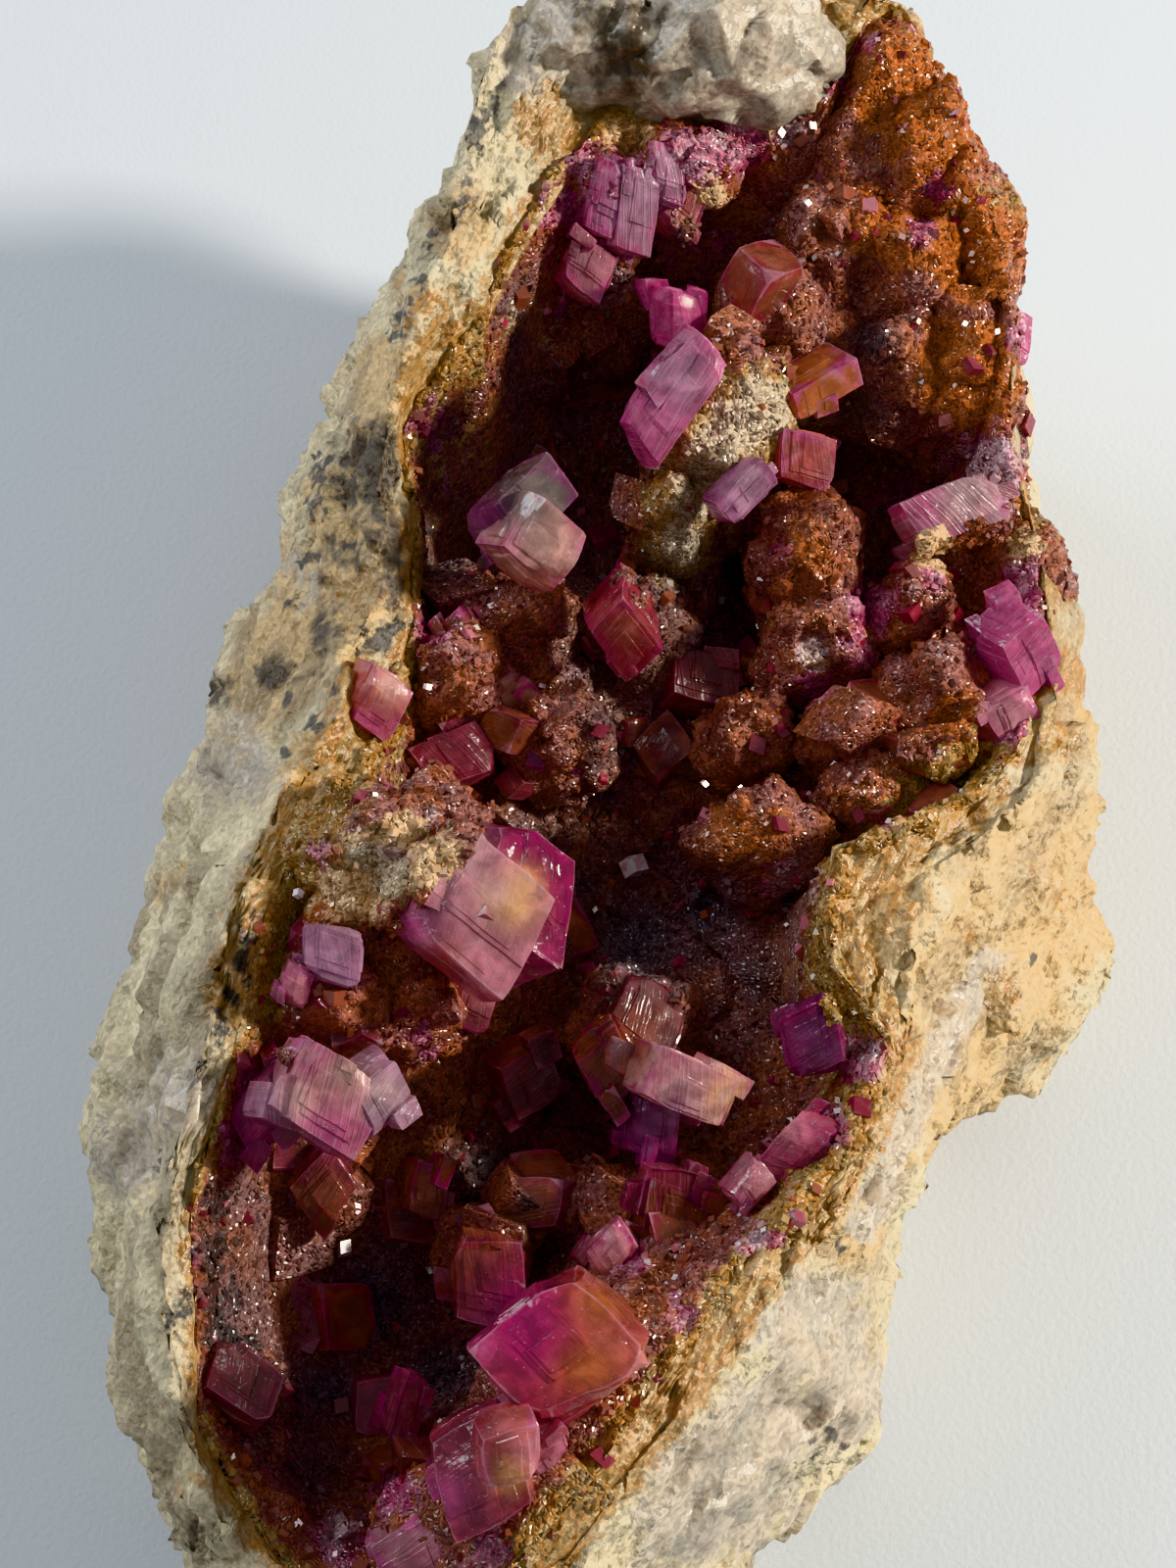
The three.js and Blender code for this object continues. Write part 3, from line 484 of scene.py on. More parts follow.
# The rings run from under the foot round its edge, up the flank, over the lip and down into the pocket.
rock_rows = [foot_row(UNDERCUT + FOOT_REACH * s, 0, 0.9) for s in (0.8, 0.4, 0.15, 0)]
rock_rows += [foot_row(blend(UNDERCUT, 0.35 * UNDERCUT, s), FOOT_TURN * s, 1)
              for s in np.linspace(0.15, 1, 7)]
rock_rows += [blend(rock_rows[-1], flank_row(0), s) for s in np.linspace(0, 1, 14)[1:-1]]
rock_rows += [flank_row(s) for s in np.linspace(0, 1, FLANK_ROWS)]
rock_rows += [lip_row(s) for s in np.linspace(0, 1.1, LIP_ROWS)[1:]]
rock_rows += [pocket_row(s) for s in np.linspace(0.02, 0.98, BARE_ROWS)]
rock = np.array(rock_rows)

CALM_PATCHES = [
    (760, 1500, 5, 0.65), (840, 1380, 4, 0.65), (700, 1590, 4, 0.65), (650, 1480, 3, 0.85),
    (1030, 230, 3.5, 0.85), (1045, 340, 3.5, 0.85), (1040, 430, 3, 0.85), (985, 130, 2.5, 0.6),
    (1110, 630, 3, 0.9), (1090, 540, 2.5, 0.85), (720, 1380, 2.6, 0.8), (600, 1560, 2.6, 0.85),
]

BLOCK_STEP = 6.0
FACET_STEP = 2.3
CHIP_STEP = 1.5
SUGAR_STEP = 0.45
HOLLOW_STEP = 3.4


def broken_relief(points, hollow, past_edge):
    """How far the broken rock stands out, in millimetres. Leaning cleavage blocks with cracks between them,
    hollows and crests along the fibres, smaller leaning facets and chips, and cloudy noise are added up. Near
    the lip a sugar of round grains joins them, and the right flank lies deeper."""
    grained = fibred(points, 1.8)
    blocks, chips = grains(fibred(points, 1.5), BLOCK_STEP, 1), grains(points, CHIP_STEP, 11)
    facets = grains(grained + 0.4 * cloudy(points, 2.0, 38)[..., None], FACET_STEP, 39)
    relief = 0.85 * blocks[2] - 0.12 * np.exp(-blocks[1] / 0.05) - 0.5 * hollow + 0.3
    relief += 0.22 * (ridged(grained, 1.3, 37) - 0.5) + 0.70 * facets[2]
    relief += blend(0.42, 0.34, ease(-points[..., 0], -4, 8)) * chips[2]
    relief += 0.10 * cloudy(points, 0.5, 31) + 0.08 * cloudy(fibred(points, 5.0), 0.45, 33)
    relief += 0.14 * (0.45 - grains(points, SUGAR_STEP, 21)[0]) * ease(-past_edge, -4, 0)
    return relief - 0.4 * ease(points[..., 0], 6, 16)


past_edge = (round_axis(rock)[0] - pocket[0]) / outward(spokes, 1)
on_flank = ease(rock[..., 2], 0.3, 2.5) * ease(past_edge, -0.6, 1.2)
hollow = 1 - ridged(fibred(rock, 1.8), HOLLOW_STEP, 35)
relief = broken_relief(rock, hollow, past_edge) * (1 - patches(rock, CALM_PATCHES))
rock = rock + normals(rock) * (on_flank * relief)[..., None]
rock[..., 2] = np.maximum(rock[..., 2], 0)

OCHRE_LINES = [
    [(910, 1065), (878, 1150), (808, 1255), (762, 1310), (712, 1390), (640, 1480), (580, 1550), (535, 1610)],
    [(372, 700), (335, 790), (302, 850), (262, 935), (240, 1020)],
    [(1000, 800), (930, 850), (885, 890), (868, 960), (885, 1040)],
    [(865, -5), (925, 45), (962, 110), (1005, 190), (1022, 250)],
]
OCHRE_PATCHES = [
    (560, 130, 2.6, 0.8), (620, 105, 2.4, 0.7), (890, 920, 2.6, 0.9), (365, 610, 2.0, 0.6),
    (440, 330, 2.4, 0.7), (1000, 160, 2.4, 0.7), (960, 55, 1.6, 0.6), (1080, 760, 2.4, 0.5),
    (1075, 900, 2.4, 0.5), (1020, 1010, 1.4, 0.7), (985, 950, 1.2, 0.6), (200, 1520, 2.0, 0.5),
    (1070, 590, 2.2, 0.9), (1088, 690, 1.8, 0.8), (1060, 760, 1.6, 0.7),
]
PALE_LINE = [(1005, 985), (965, 1060), (925, 1150), (880, 1250)]
SOOT_LINES = [
    [(330, 470), (312, 560)], [(262, 930), (240, 1000), (225, 1060)],
    [(205, 1230), (205, 1300), (215, 1380), (205, 1440)], [(500, 90), (480, 170), (420, 300), (405, 340)],
]
SOOT_PATCHES = [
    (380, 655, 1.5, 1.1), (405, 645, 1.2, 1), (312, 569, 1.0, 1), (303, 617, 0.9, 1), (294, 716, 1.0, 1),
    (318, 743, 0.8, 1), (291, 770, 0.7, 0.9), (344, 700, 0.8, 0.8), (360, 560, 0.9, 0.7),
    (190, 1330, 1.8, 1), (160, 1190, 0.8, 0.7), (850, 1470, 1.6, 1), (800, 1590, 1.6, 0.9),
    (860, 1270, 1.2, 0.8), (650, 75, 0.9, 0.7), (210, 1400, 1.6, 1), (1050, 980, 0.8, 0.6),
]
TAN_PATCHES = [
    (1070, 900, 6, 1), (960, 1100, 5, 1), (900, 930, 3.4, 1), (1010, 1000, 5, 1), (860, 1250, 3, 0.8),
    (330, 800, 3, 0.9), (400, 400, 3.4, 0.9), (365, 520, 2.8, 0.9), (345, 640, 2.6, 0.8),
    (470, 230, 2.4, 0.8), (245, 760, 3.2, 0.6), (1080, 700, 4, 1), (1000, 180, 3, 0.8), (320, 600, 3.0, 1),
    (300, 660, 3.0, 1), (265, 700, 2.4, 0.9), (385, 590, 2.6, 1), (350, 520, 2.6, 1), (180, 900, 2.0, 0.5),
    (420, 300, 2.0, 0.6),
]
# Dark patches: partly painted shade, on the cap's left face, in the hollows of the upper left flank and at
# the near left foot, and partly dark stain mottling the flank.
SHADE_AND_STAIN_PATCHES = [
    (640, 60, 2.2, 1), (610, 20, 1.8, 0.9), (655, 20, 1.8, 0.9), (590, 95, 1.0, 0.7), (195, 1560, 2.4, 0.7),
    (370, 500, 2.2, 1), (385, 470, 2.6, 1.2), (350, 565, 1.6, 0.9), (335, 645, 1.5, 0.9), (405, 600, 1.8, 1),
    (279, 689, 1.3, 1), (219, 704, 1.3, 0.9), (365, 760, 0.9, 0.7), (400, 560, 2.0, 1.1),
    (590, 150, 1.2, 0.7), (410, 400, 1.2, 0.6), (345, 600, 3.4, 0.5), (330, 680, 2.6, 0.5),
    (455, 215, 3.0, 0.42), (485, 130, 2.4, 0.42),
]
PALE_PATCHES = [
    (740, 1520, 4.5, 1), (830, 1360, 3.4, 1), (700, 1560, 3.6, 0.8), (180, 1120, 3.6, 0.7),
    (240, 780, 3.0, 0.7), (130, 1180, 2.6, 0.8), (540, 60, 2.6, 0.7), (300, 590, 2.4, 0.5),
    (860, 1420, 3.0, 1), (790, 1450, 3.0, 1),
]


def rock_marks(points):
    """The rock's marks: ochre sugar along the pocket's edge, soot, white spar, tan where it weathered, and
    dark patches that are partly painted shade and partly dark stain.
    """
    reach, angle = round_axis(points)
    past = ELLIPSE[1] * (reach - pocket_at(angle)[0])
    edge = np.exp(-((np.maximum(past, 0) / 1.6) ** 2))
    ochre = [1.1 * ribbon(points, line, 1.7) for line in OCHRE_LINES]
    ochre += [patches(points, OCHRE_PATCHES), 0.7 * edge]
    soot = [0.9 * ribbon(points, line, 0.9) for line in SOOT_LINES] + [patches(points, SOOT_PATCHES)]
    pale = [0.9 * ribbon(points, PALE_LINE, 1.1), patches(points, PALE_PATCHES)]
    return {"ochre": np.max(ochre, 0), "soot": np.max(soot, 0), "pale": np.max(pale, 0),
            "tan": patches(points, TAN_PATCHES), "dark": patches(points, SHADE_AND_STAIN_PATCHES)}


rock_points, rock_quads, rock_caps = closed(rock)
# Painted shade: how deep a place lies in a hollow of the relief, which the rock's colour darkens.
hollow_shade = np.append((hollow * on_flank).ravel(), [0, 0])

CAP_BLOCKS = [
    {"pixel": (628, 44, 29.0), "radii": np.array([5.6, 3.4, 4.0]), "breaks": [
        (628, 50, 32.0, (-0.35, -0.35, 0.87)), (600, 95, 29.0, (-0.3, -0.85, 0.4))]},
    {"pixel": (738, 54, 29.6), "radii": np.array([6.6, 3.3, 4.6]), "breaks": [
        (790, 60, 33.2, (0.46, -0.12, 0.88)), (700, 60, 33.0, (-0.62, -0.2, 0.76)),
        (750, 92, 30.8, (0.12, -0.88, 0.46)), (850, 60, 30.5, (0.85, -0.3, 0.4))]},
]
CAP_GRID = (150, 80)


def ball(middle, radii, spokes, rings):
    """A ball of three radii, as rings from its bottom to its top."""
    turn = 2 * np.pi * np.arange(spokes) / spokes
    rise = np.pi * ((np.arange(rings) + 0.5) / rings - 0.5)
    rise, turn = np.meshgrid(rise, turn, indexing="ij")
    way = np.stack([np.cos(rise) * np.cos(turn), np.cos(rise) * np.sin(turn), np.sin(rise)], -1)
    return middle + way * radii, way


def dented(middle, radii, spokes, rings):
    """The ball knocked out of shape by a broad ripple."""
    even, way = ball(middle, radii, spokes, rings)
    return middle + way * radii * (1 + 0.16 * rough(even, 0.8))[..., None]


def cut_flat(points, place, normal):
    """Points beyond a plane are pushed back onto it. Its normal has length 1."""
    beyond = np.maximum((points - place) @ normal, 0)
    return points - beyond[..., None] * normal


def cap_block(pixel, radii, breaks):
    """A cleaved block of the cap as rings: a dented ball cut off by planes, with leaning cleavage steps."""
    block = dented(seen(*pixel), radii, *CAP_GRID)
    for px, py, level, way in breaks:
        block = cut_flat(block, seen(px, py, level), unit(np.array(way)))
    steps = grains(fibred(block, 2.2) + 0.7 * cloudy(block, 2.0, 43)[..., None], 2.4, 41)
    relief = 0.42 * steps[2] + 0.22 * ridged(block, 2.6, 45) + 0.05 * cloudy(block, 0.6, 47) - 0.1
    return block + normals(block) * relief[..., None]


# Sparkling grain: space is cut into grains, and each grain's facet leans its own way by the twist. The effect
# puts out that facet's normal, the grain's own random number, and how far its edge is.
effect = bpy.data.node_groups.new("sparkling grain", "ShaderNodeTree")
for way, sockets in {"INPUT": ("Grain", "Twist"), "OUTPUT": ("Normal", "Chance", "Edge")}.items():
    for socket in sockets:
        kind = "NodeSocketVector" if socket == "Normal" else "NodeSocketFloat"
        effect.interface.new_socket(socket, in_out=way, socket_type=kind)
given, result = node(effect, "NodeGroupInput"), node(effect, "NodeGroupOutput")
place = node(effect, "ShaderNodeTexCoord").outputs["Object"]
finer = node(effect, "ShaderNodeMath", {0: 1.0, 1: given.outputs["Grain"]}, operation="DIVIDE")
cells = node(effect, "ShaderNodeTexVoronoi", {"Vector": place, "Scale": finer.outputs[0]})
rims = node(effect, "ShaderNodeTexVoronoi", {"Vector": place, "Scale": finer.outputs[0]},
            feature="DISTANCE_TO_EDGE")
centred = node(effect, "ShaderNodeVectorMath", {0: cells.outputs["Color"], 1: (0.5, 0.5, 0.5)},
               operation="SUBTRACT")
twisted = node(effect, "ShaderNodeVectorMath", {0: centred.outputs[0], "Scale": given.outputs["Twist"]},
               operation="SCALE")
facing = node(effect, "ShaderNodeNewGeometry").outputs["Normal"]
leaning = node(effect, "ShaderNodeVectorMath", {0: facing, 1: twisted.outputs[0]}, operation="ADD")
evened = node(effect, "ShaderNodeVectorMath", {0: leaning.outputs[0]}, operation="NORMALIZE")
parted = node(effect, "ShaderNodeSeparateColor", {0: cells.outputs["Color"]})
effect.links.new(evened.outputs[0], result.inputs["Normal"])
effect.links.new(parted.outputs[0], result.inputs["Chance"])
effect.links.new(rims.outputs[0], result.inputs["Edge"])


def sparkle(tree, grain, twist):
    """The sparkling grain effect in a material: grain in millimetres, and how far each facet leans."""
    group = node(tree, "ShaderNodeGroup", node_tree=effect)
    group.inputs["Grain"].default_value = grain * MM
    group.inputs["Twist"].default_value = twist
    return group.outputs


def mix(tree, share, first, second, blend_type="MIX"):
    """Two colours mixed: share is a number or a socket, and each colour three numbers or a socket."""
    first, second = ((*c, 1) if isinstance(c, tuple) and len(c) == 3 else c for c in (first, second))
    inputs = {0: share, 6: first, 7: second}
    return node(tree, "ShaderNodeMix", inputs, data_type="RGBA", blend_type=blend_type).outputs[2]


def ramp(tree, value, low, high, to_low=0.0, to_high=1.0):
    """A value brought from its own range into a new one, with smooth ends."""
    inputs = {0: value, 1: low, 2: high, 3: to_low, 4: to_high}
    return node(tree, "ShaderNodeMapRange", inputs, interpolation_type="SMOOTHSTEP").outputs[0]


def maths(tree, operation, first, second=0.0):
    """One sum on numbers or sockets."""
    return node(tree, "ShaderNodeMath", {0: first, 1: second}, operation=operation).outputs[0]


def mark(tree, name, kind="Fac"):
    """A mark of the piece, as a number, or as a colour if the kind is Color."""
    return node(tree, "ShaderNodeAttribute", attribute_name=name).outputs[kind]


def torn(tree, name, step, depth, low=0.32, high=0.62):
    """A mark with ragged edges: noise is added to it, and it is cut off sharply from low to high."""
    ragged = maths(tree, "MULTIPLY", maths(tree, "SUBTRACT", noise(tree, step, 6.0), 0.5), depth)
    return ramp(tree, maths(tree, "ADD", mark(tree, name), ragged), low, high)


def laid(tree, colour, share, over, strength=1.0):
    """A colour with another laid over it, as far as a share of the strength."""
    return mix(tree, maths(tree, "MULTIPLY", share, strength), colour, over)


def fibres(tree, long, thin):
    """Cloudy noise drawn out along the rock's fibres: long by thin, in millimetres."""
    place = node(tree, "ShaderNodeTexCoord").outputs["Object"]
    turned = node(tree, "ShaderNodeMapping", {"Vector": place, "Rotation": (0, 0, FIBRE_TURN),
                                              "Scale": (long / thin, 1, 1)}, vector_type="TEXTURE")
    inputs = {"Vector": turned.outputs[0], "Scale": 1 / (thin * MM), "Detail": 3.0}
    return node(tree, "ShaderNodeTexNoise", inputs).outputs["Fac"]


def shaded(tree, colour, shade):
    """A colour made lighter or darker by a number."""
    grey = node(tree, "ShaderNodeCombineColor", {0: shade, 1: shade, 2: shade}).outputs[0]
    return mix(tree, 1.0, colour, grey, "MULTIPLY")


GREY_BEIGE = (0.56, 0.485, 0.32)
CREAM = (0.75, 0.645, 0.43)
HOLLOW_SHADE_BROWN = (0.27, 0.205, 0.13)
GOLDEN_TAN = (0.64, 0.45, 0.225)
GLASSY_GREY = (0.42, 0.375, 0.305)
RUSTY_SPOT = (0.36, 0.19, 0.075)
GOLDEN_SUGAR = (0.44, 0.30, 0.14)
AMBER_SUGAR = (0.40, 0.20, 0.06)
WHITE_SPAR = (0.52, 0.44, 0.345)
SOOT = (0.05, 0.052, 0.055)
CREAM_THREAD = (0.68, 0.58, 0.40)
SHADE_AND_STAIN_BROWN = (0.105, 0.080, 0.055)


def rock_colour(tree, glassy):
    """The rock's colour and how glassy it is: clouds of grey-beige and cream, painted shade in brown-grey in
    the hollows, tan and rusty weathering, white spar with grey clouds, dark patches of painted shade and
    dark stain, ochre sugar along the lip, specks and soot."""
    colour = mix(tree, ramp(tree, noise(tree, 3.2), 0.40, 0.60), GREY_BEIGE, CREAM)
    colour = laid(tree, colour, torn(tree, "tan", 3.0, 1.0), GOLDEN_TAN)
    colour = laid(tree, colour, torn(tree, "tan", 1.1, 2.4, 1.0, 1.3), RUSTY_SPOT, 0.5)
    # Painted shade: brown-grey laid into the hollows of the broken relief.
    colour = laid(tree, colour, ramp(tree, mark(tree, "hollow"), 0.35, 0.90), HOLLOW_SHADE_BROWN, 0.62)
    white, ochre = torn(tree, "pale", 1.6, 1.2), torn(tree, "ochre", 0.8, 1.1)
    spar = mix(tree, ramp(tree, noise(tree, 3.4, 4.0, Distortion=0.8), 0.36, 0.60), GLASSY_GREY, WHITE_SPAR)
    colour = laid(tree, colour, white, spar)
    threads = ramp(tree, fibres(tree, 3.5, 0.35), 0.52, 0.68)
    colour = laid(tree, colour, threads, CREAM_THREAD, ramp(tree, white, 0, 1, 0.42, 0.15))
    # Painted shade and dark stain: the dark patches in brown-black.
    colour = laid(tree, colour, torn(tree, "dark", 1.1, 1.7, 0.35, 0.95), SHADE_AND_STAIN_BROWN)
    colour = laid(tree, colour, ochre, golden_sugar(tree), 0.92)
    colour = laid(tree, colour, ramp(tree, noise(tree, 0.45, 5.0), 0.62, 0.74), RUSTY_SPOT, 0.45)
    colour = laid(tree, colour, torn(tree, "soot", 0.9, 2.6, 0.70, 1.0), SOOT, 0.85)
    return colour, maths(tree, "MAXIMUM", maths(tree, "MULTIPLY", white, glassy), ochre)


def golden_sugar(tree):
    """The colour of the ochre sugar: amber and gold in fibres."""
    return mix(tree, ramp(tree, fibres(tree, 2.6, 0.45), 0.42, 0.60), AMBER_SUGAR, GOLDEN_SUGAR)


def rock_surface(tree, surface, glassy, twist):
    """Links the rock's colour, gloss and fine grain to its shader: facets of 0.26 and 1.4 millimetres that
    lean by chance, and a bump of cloudy noise and fibres."""
    colour, shine = rock_colour(tree, glassy)
    glint = sparkle(tree, 0.26, twist)
    colour = shaded(tree, colour, ramp(tree, glint["Chance"], 0, 1, 0.82, 1.18))
    tree.links.new(colour, surface.inputs["Base Color"])
    tree.links.new(ramp(tree, shine, 0, 1, 0.52, 0.22), surface.inputs["Roughness"])
    facet = mix(tree, glassy, glint["Normal"], sparkle(tree, 1.4, 0.7)["Normal"])
    fine = maths(tree, "ADD", noise(tree, 0.5, 8.0), maths(tree, "MULTIPLY", fibres(tree, 2.6, 0.28), 0.6))
    roughen(tree, surface, fine, 0.28, 0.8 - 0.5 * glassy, facet)


dolomite_rock, tree, surface = shader("weathered_dolomite", IOR=1.6)
rock_surface(tree, surface, 0.0, 0.5)
white_spar, tree, surface = shader("white_spar", IOR=1.6, Subsurface_Weight=0.55, Subsurface_Scale=1.6 * MM)
surface.inputs["Subsurface Radius"].default_value = (1.0, 0.75, 0.5)
rock_surface(tree, surface, 0.75, 0.3)


def spar_faces(made, points, quads, marks):
    """Gives the faces inside a ragged pale mark the white spar's material."""
    made.data.materials.append(white_spar)
    share = (marks["pale"] - marks["ochre"])[quads].mean(1) + 0.35 * cloudy(points[quads].mean(1), 1.5, 51)
    glassy = np.zeros(len(made.data.polygons), np.int32)
    glassy[:len(quads)] = share > 0.5
    made.data.polygons.foreach_set("material_index", glassy)


stone_marks = rock_marks(rock_points)
stone = piece("matrix_rock_skin", rock_points, rock_quads, rock_caps, dolomite_rock, "rock",
              hollow=hollow_shade, **stone_marks)
spar_faces(stone, rock_points, rock_quads, stone_marks)
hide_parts("matrix_rock")
for number, row in enumerate(CAP_BLOCKS):
    cap_points, cap_quads, cap_caps = closed(cap_block(**row))
    cap_pale = ease(cap_points[:, 2], 25.5, 28.0)
    cap_marks = {**rock_marks(cap_points), "ochre": 1.1 * (1 - cap_pale), "pale": 1.2 * cap_pale}
    cap_piece = piece(f"cap_block_skin_{number}", cap_points, cap_quads, cap_caps, dolomite_rock, "rock",
                      **cap_marks)
    spar_faces(cap_piece, cap_points, cap_quads, cap_marks)
    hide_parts("matrix_rock")


# Druse crust. A skin of rusty dolomite grains, each a small rhomb, that grew over the whole pocket. Between
# its lumps it lies in deep valleys, and at the pocket's edge it laps over the rock.
CRUST_EDGE = 0.2
CRUST_SPOKES = 420
UNDERSIDE_DEPTH = 1.4
LAP_ROOT = -1.5
UNDER_ROWS, RIM_ROWS, TOP_ROWS = 6, 9, 86
LEAST_LAP, MOST_LAP = 0.05, 2.6

# The torn edge's lap and rise. It is thickest along the upper right, where the crust hangs over the rock.
crust_turns = ring_angles(CRUST_SPOKES)
rim_edge = pocket_at(crust_turns)
rim_line = around(crust_turns, rim_edge[0], rim_edge[1])
torn_lap = rim_edge[2] * (0.55 + 0.8 * cloudy(rim_line, 1.3, 85) + 0.4 * cloudy(rim_line, 0.5, 86))
torn_lap = np.clip(torn_lap, LEAST_LAP, MOST_LAP)
upper_right = ease(rim_edge[1], 22, 24) * (crust_turns > 0) * (crust_turns < 1.5)
rim_rise = CRUST_EDGE + np.minimum(torn_lap, 1.5) * blend(0.3, 0.9, upper_right)


def crust_row(share):
    """A ring of the crust's top, at a share of the way from the middle to the pocket's edge."""
    ring = around(crust_turns, rim_edge[0] * share, 0.0)
    inside = ease(1 - share, 0, WALL_SHARE)
    valley = valley_height(ring) + 0.35 * rough(ring, 0.9)
    ring[..., 2] = blend(rim_edge[1] + rim_rise, valley, inside)
    return ring


def lap_row(share):
    """A ring of the crust's torn edge, that share of the way round its rim, from the rock to the top."""
    out = torn_lap * np.cos(0.5 * np.pi * share)
    rise = blend(LAP_ROOT, rim_rise, np.sin(0.5 * np.pi * share))
    return around(crust_turns, rim_edge[0] + outward(crust_turns, out), rim_edge[1] + rise)


under = [crust_row(s) - (0, 0, UNDERSIDE_DEPTH) for s in np.linspace(0.05, 0.97, UNDER_ROWS)]
rim = [lap_row(s) for s in np.linspace(0, 1, RIM_ROWS)]
top = [crust_row(s) for s in np.linspace(1, 0.01, TOP_ROWS)[1:]]
crust = np.array(under + rim + top)
above = np.zeros(len(crust))
above[len(under) + 1:] = 1


def botryoidal(points):
    """The druse's relief: leaning planes at 2.6 millimetres, like coated rhombs, knobs at 1.7 and 0.75
    millimetres, each highest at its middle, small leaning planes on the finer ones, and cloudy noise."""
    broad, large, fine = grains(points, 2.6, 55), grains(points, 1.7, 61), grains(points, 0.75, 71)
    knobby = 0.34 * (0.45 - large[0]) + 0.22 * (0.45 - fine[0])
    return 0.50 * broad[2] + knobby + 0.16 * fine[2] + 0.09 * cloudy(points, 0.45, 81)


crust = crust + normals(crust) * (above[:, None] * botryoidal(crust))[..., None]
crust_points, crust_quads, crust_caps = closed(crust)

PINK_PATCHES = [
    (940, 236, 1.0, 0.8), (880, 40, 1.2, 0.6), (850, 90, 1.0, 0.7), (745, 145, 2.2, 0.9),
    (640, 200, 2.6, 0.9), (570, 215, 1.8, 0.8), (700, 160, 2.0, 0.9), (590, 160, 1.4, 0.8),
    (960, 190, 1.0, 0.7), (1045, 345, 0.9, 1), (850, 390, 1.2, 0.8), (1010, 480, 2.4, 0.9),
    (920, 500, 1.2, 1), (890, 620, 1.6, 0.9), (870, 660, 1.2, 0.7), (1040, 600, 1.6, 0.8),
    (1060, 680, 1.6, 1), (1040, 740, 1.4, 0.9), (440, 640, 1.4, 0.8), (380, 700, 1.4, 0.8),
    (790, 900, 2.0, 0.5), (900, 830, 1.2, 0.6), (880, 1080, 1.6, 0.9), (840, 1150, 1.4, 0.9),
    (780, 1270, 1.4, 0.8), (640, 1280, 1.6, 0.7), (330, 870, 1.2, 0.6), (250, 1100, 1.4, 0.7),
    (240, 1170, 1.4, 0.8), (430, 1060, 1.6, 0.6), (400, 1520, 1.6, 0.8), (350, 1580, 1.6, 0.8),
    (500, 1590, 1.6, 0.8), (450, 400, 1.2, 0.5), (200, 1290, 0.8, 0.6), (430, 1440, 1.2, 0.6),
    (700, 1340, 1.4, 0.6), (430, 430, 1.4, 0.7), (800, 560, 1.0, 0.6), (830, 700, 1.6, 0.6),
    (950, 590, 1.0, 0.6), (1000, 640, 1.6, 0.6),
]
FROST_PATCHES = [
    (805, 135, 0.8, 1), (690, 170, 1.0, 0.6), (650, 185, 1.0, 0.5), (740, 140, 1.0, 0.6),
    (600, 200, 0.8, 0.5), (395, 880, 1.2, 0.9), (620, 290, 1.4, 1), (600, 280, 1.6, 0.7), (1000, 485, 2.2, 1),
    (830, 665, 1.0, 0.9), (810, 905, 1.6, 0.9), (440, 830, 0.8, 0.7), (880, 1070, 1.0, 0.8),
    (770, 1260, 1.0, 0.7), (350, 1560, 1.6, 0.7), (300, 1480, 1.2, 0.4), (780, 90, 2.0, 0.5),
    (560, 370, 1.4, 0.5),
]
OLIVE_PATCHES = [
    (950, 560, 1.4, 1), (1045, 555, 1.0, 0.9), (600, 230, 1.2, 0.7), (640, 130, 1.6, 1), (725, 195, 1.2, 0.8),
    (575, 150, 1.6, 0.9), (610, 245, 1.0, 0.8), (385, 880, 2.4, 1), (420, 850, 1.6, 0.8),
    (700, 200, 1.4, 0.6), (760, 110, 2.0, 0.8), (540, 330, 1.6, 0.8), (830, 670, 0.9, 0.8),
    (440, 880, 2.0, 0.9), (360, 910, 2.2, 1), (900, 1120, 1.4, 0.8), (530, 160, 1.4, 0.7),
    (740, 430, 1.2, 0.8), (410, 860, 1.8, 1), (330, 960, 1.2, 0.8), (860, 1035, 1.4, 1),
]
SPAR_PATCHES = [
    (400, 895, 1.2, 0.9), (372, 872, 1.0, 0.8), (782, 415, 1.9, 1), (752, 435, 1.7, 1), (722, 470, 1.8, 1),
    (708, 505, 1.5, 1), (694, 555, 1.3, 1),
]
RING_PATCHES = [(775, 420, 3.0, 1), (735, 465, 3.0, 1), (700, 515, 2.5, 1), (690, 560, 2.1, 1)]
# Painted sunlight: spots of the druse that the low lamp lights, given a brighter orange.
SUN_PATCHES = [
    (960, 100, 5.0, 1), (1000, 250, 4.0, 1), (990, 380, 3.4, 1), (900, 230, 3.0, 0.7), (760, 850, 3.0, 0.7),
    (820, 560, 2.4, 0.5), (510, 1290, 1.2, 1), (980, 740, 2.6, 0.5), (340, 940, 2.4, 0.6),
]
# Painted shade: hollows of the pocket darkened towards black; a few patches on the left rim's walls also
# darken the crust's own black.
HOLLOW_PATCHES = [
    (440, 560, 3.0, 1), (470, 470, 2.4, 1), (880, 420, 1.8, 1), (890, 350, 1.4, 1), (920, 540, 1.6, 0.9),
    (650, 960, 4.0, 1), (720, 930, 3.0, 1), (600, 900, 1.8, 0.8), (380, 1330, 4.4, 1), (450, 1400, 3.0, 1),
    (330, 1420, 3.0, 1), (500, 1190, 2.6, 1), (540, 1230, 2.0, 0.9), (800, 222, 1.4, 0.35),
    (700, 270, 2.4, 0.8), (590, 430, 2.0, 0.8), (860, 470, 1.0, 0.9), (320, 1500, 2.6, 0.9),
    (700, 600, 1.6, 0.7), (640, 750, 2.4, 0.6), (390, 1270, 2.0, 0.9), (770, 990, 2.0, 0.8),
    (280, 1230, 1.6, 0.6), (520, 300, 1.8, 0.8), (212, 1250, 1.8, 0.9), (228, 1350, 2.2, 1),
    (250, 1300, 2.0, 0.9), (215, 1190, 1.2, 0.6), (240, 1400, 1.6, 0.9), (250, 1480, 2.2, 0.9),
    (290, 1580, 2.0, 0.8), (430, 600, 1.6, 1), (940, 880, 1.0, 0.5),
]
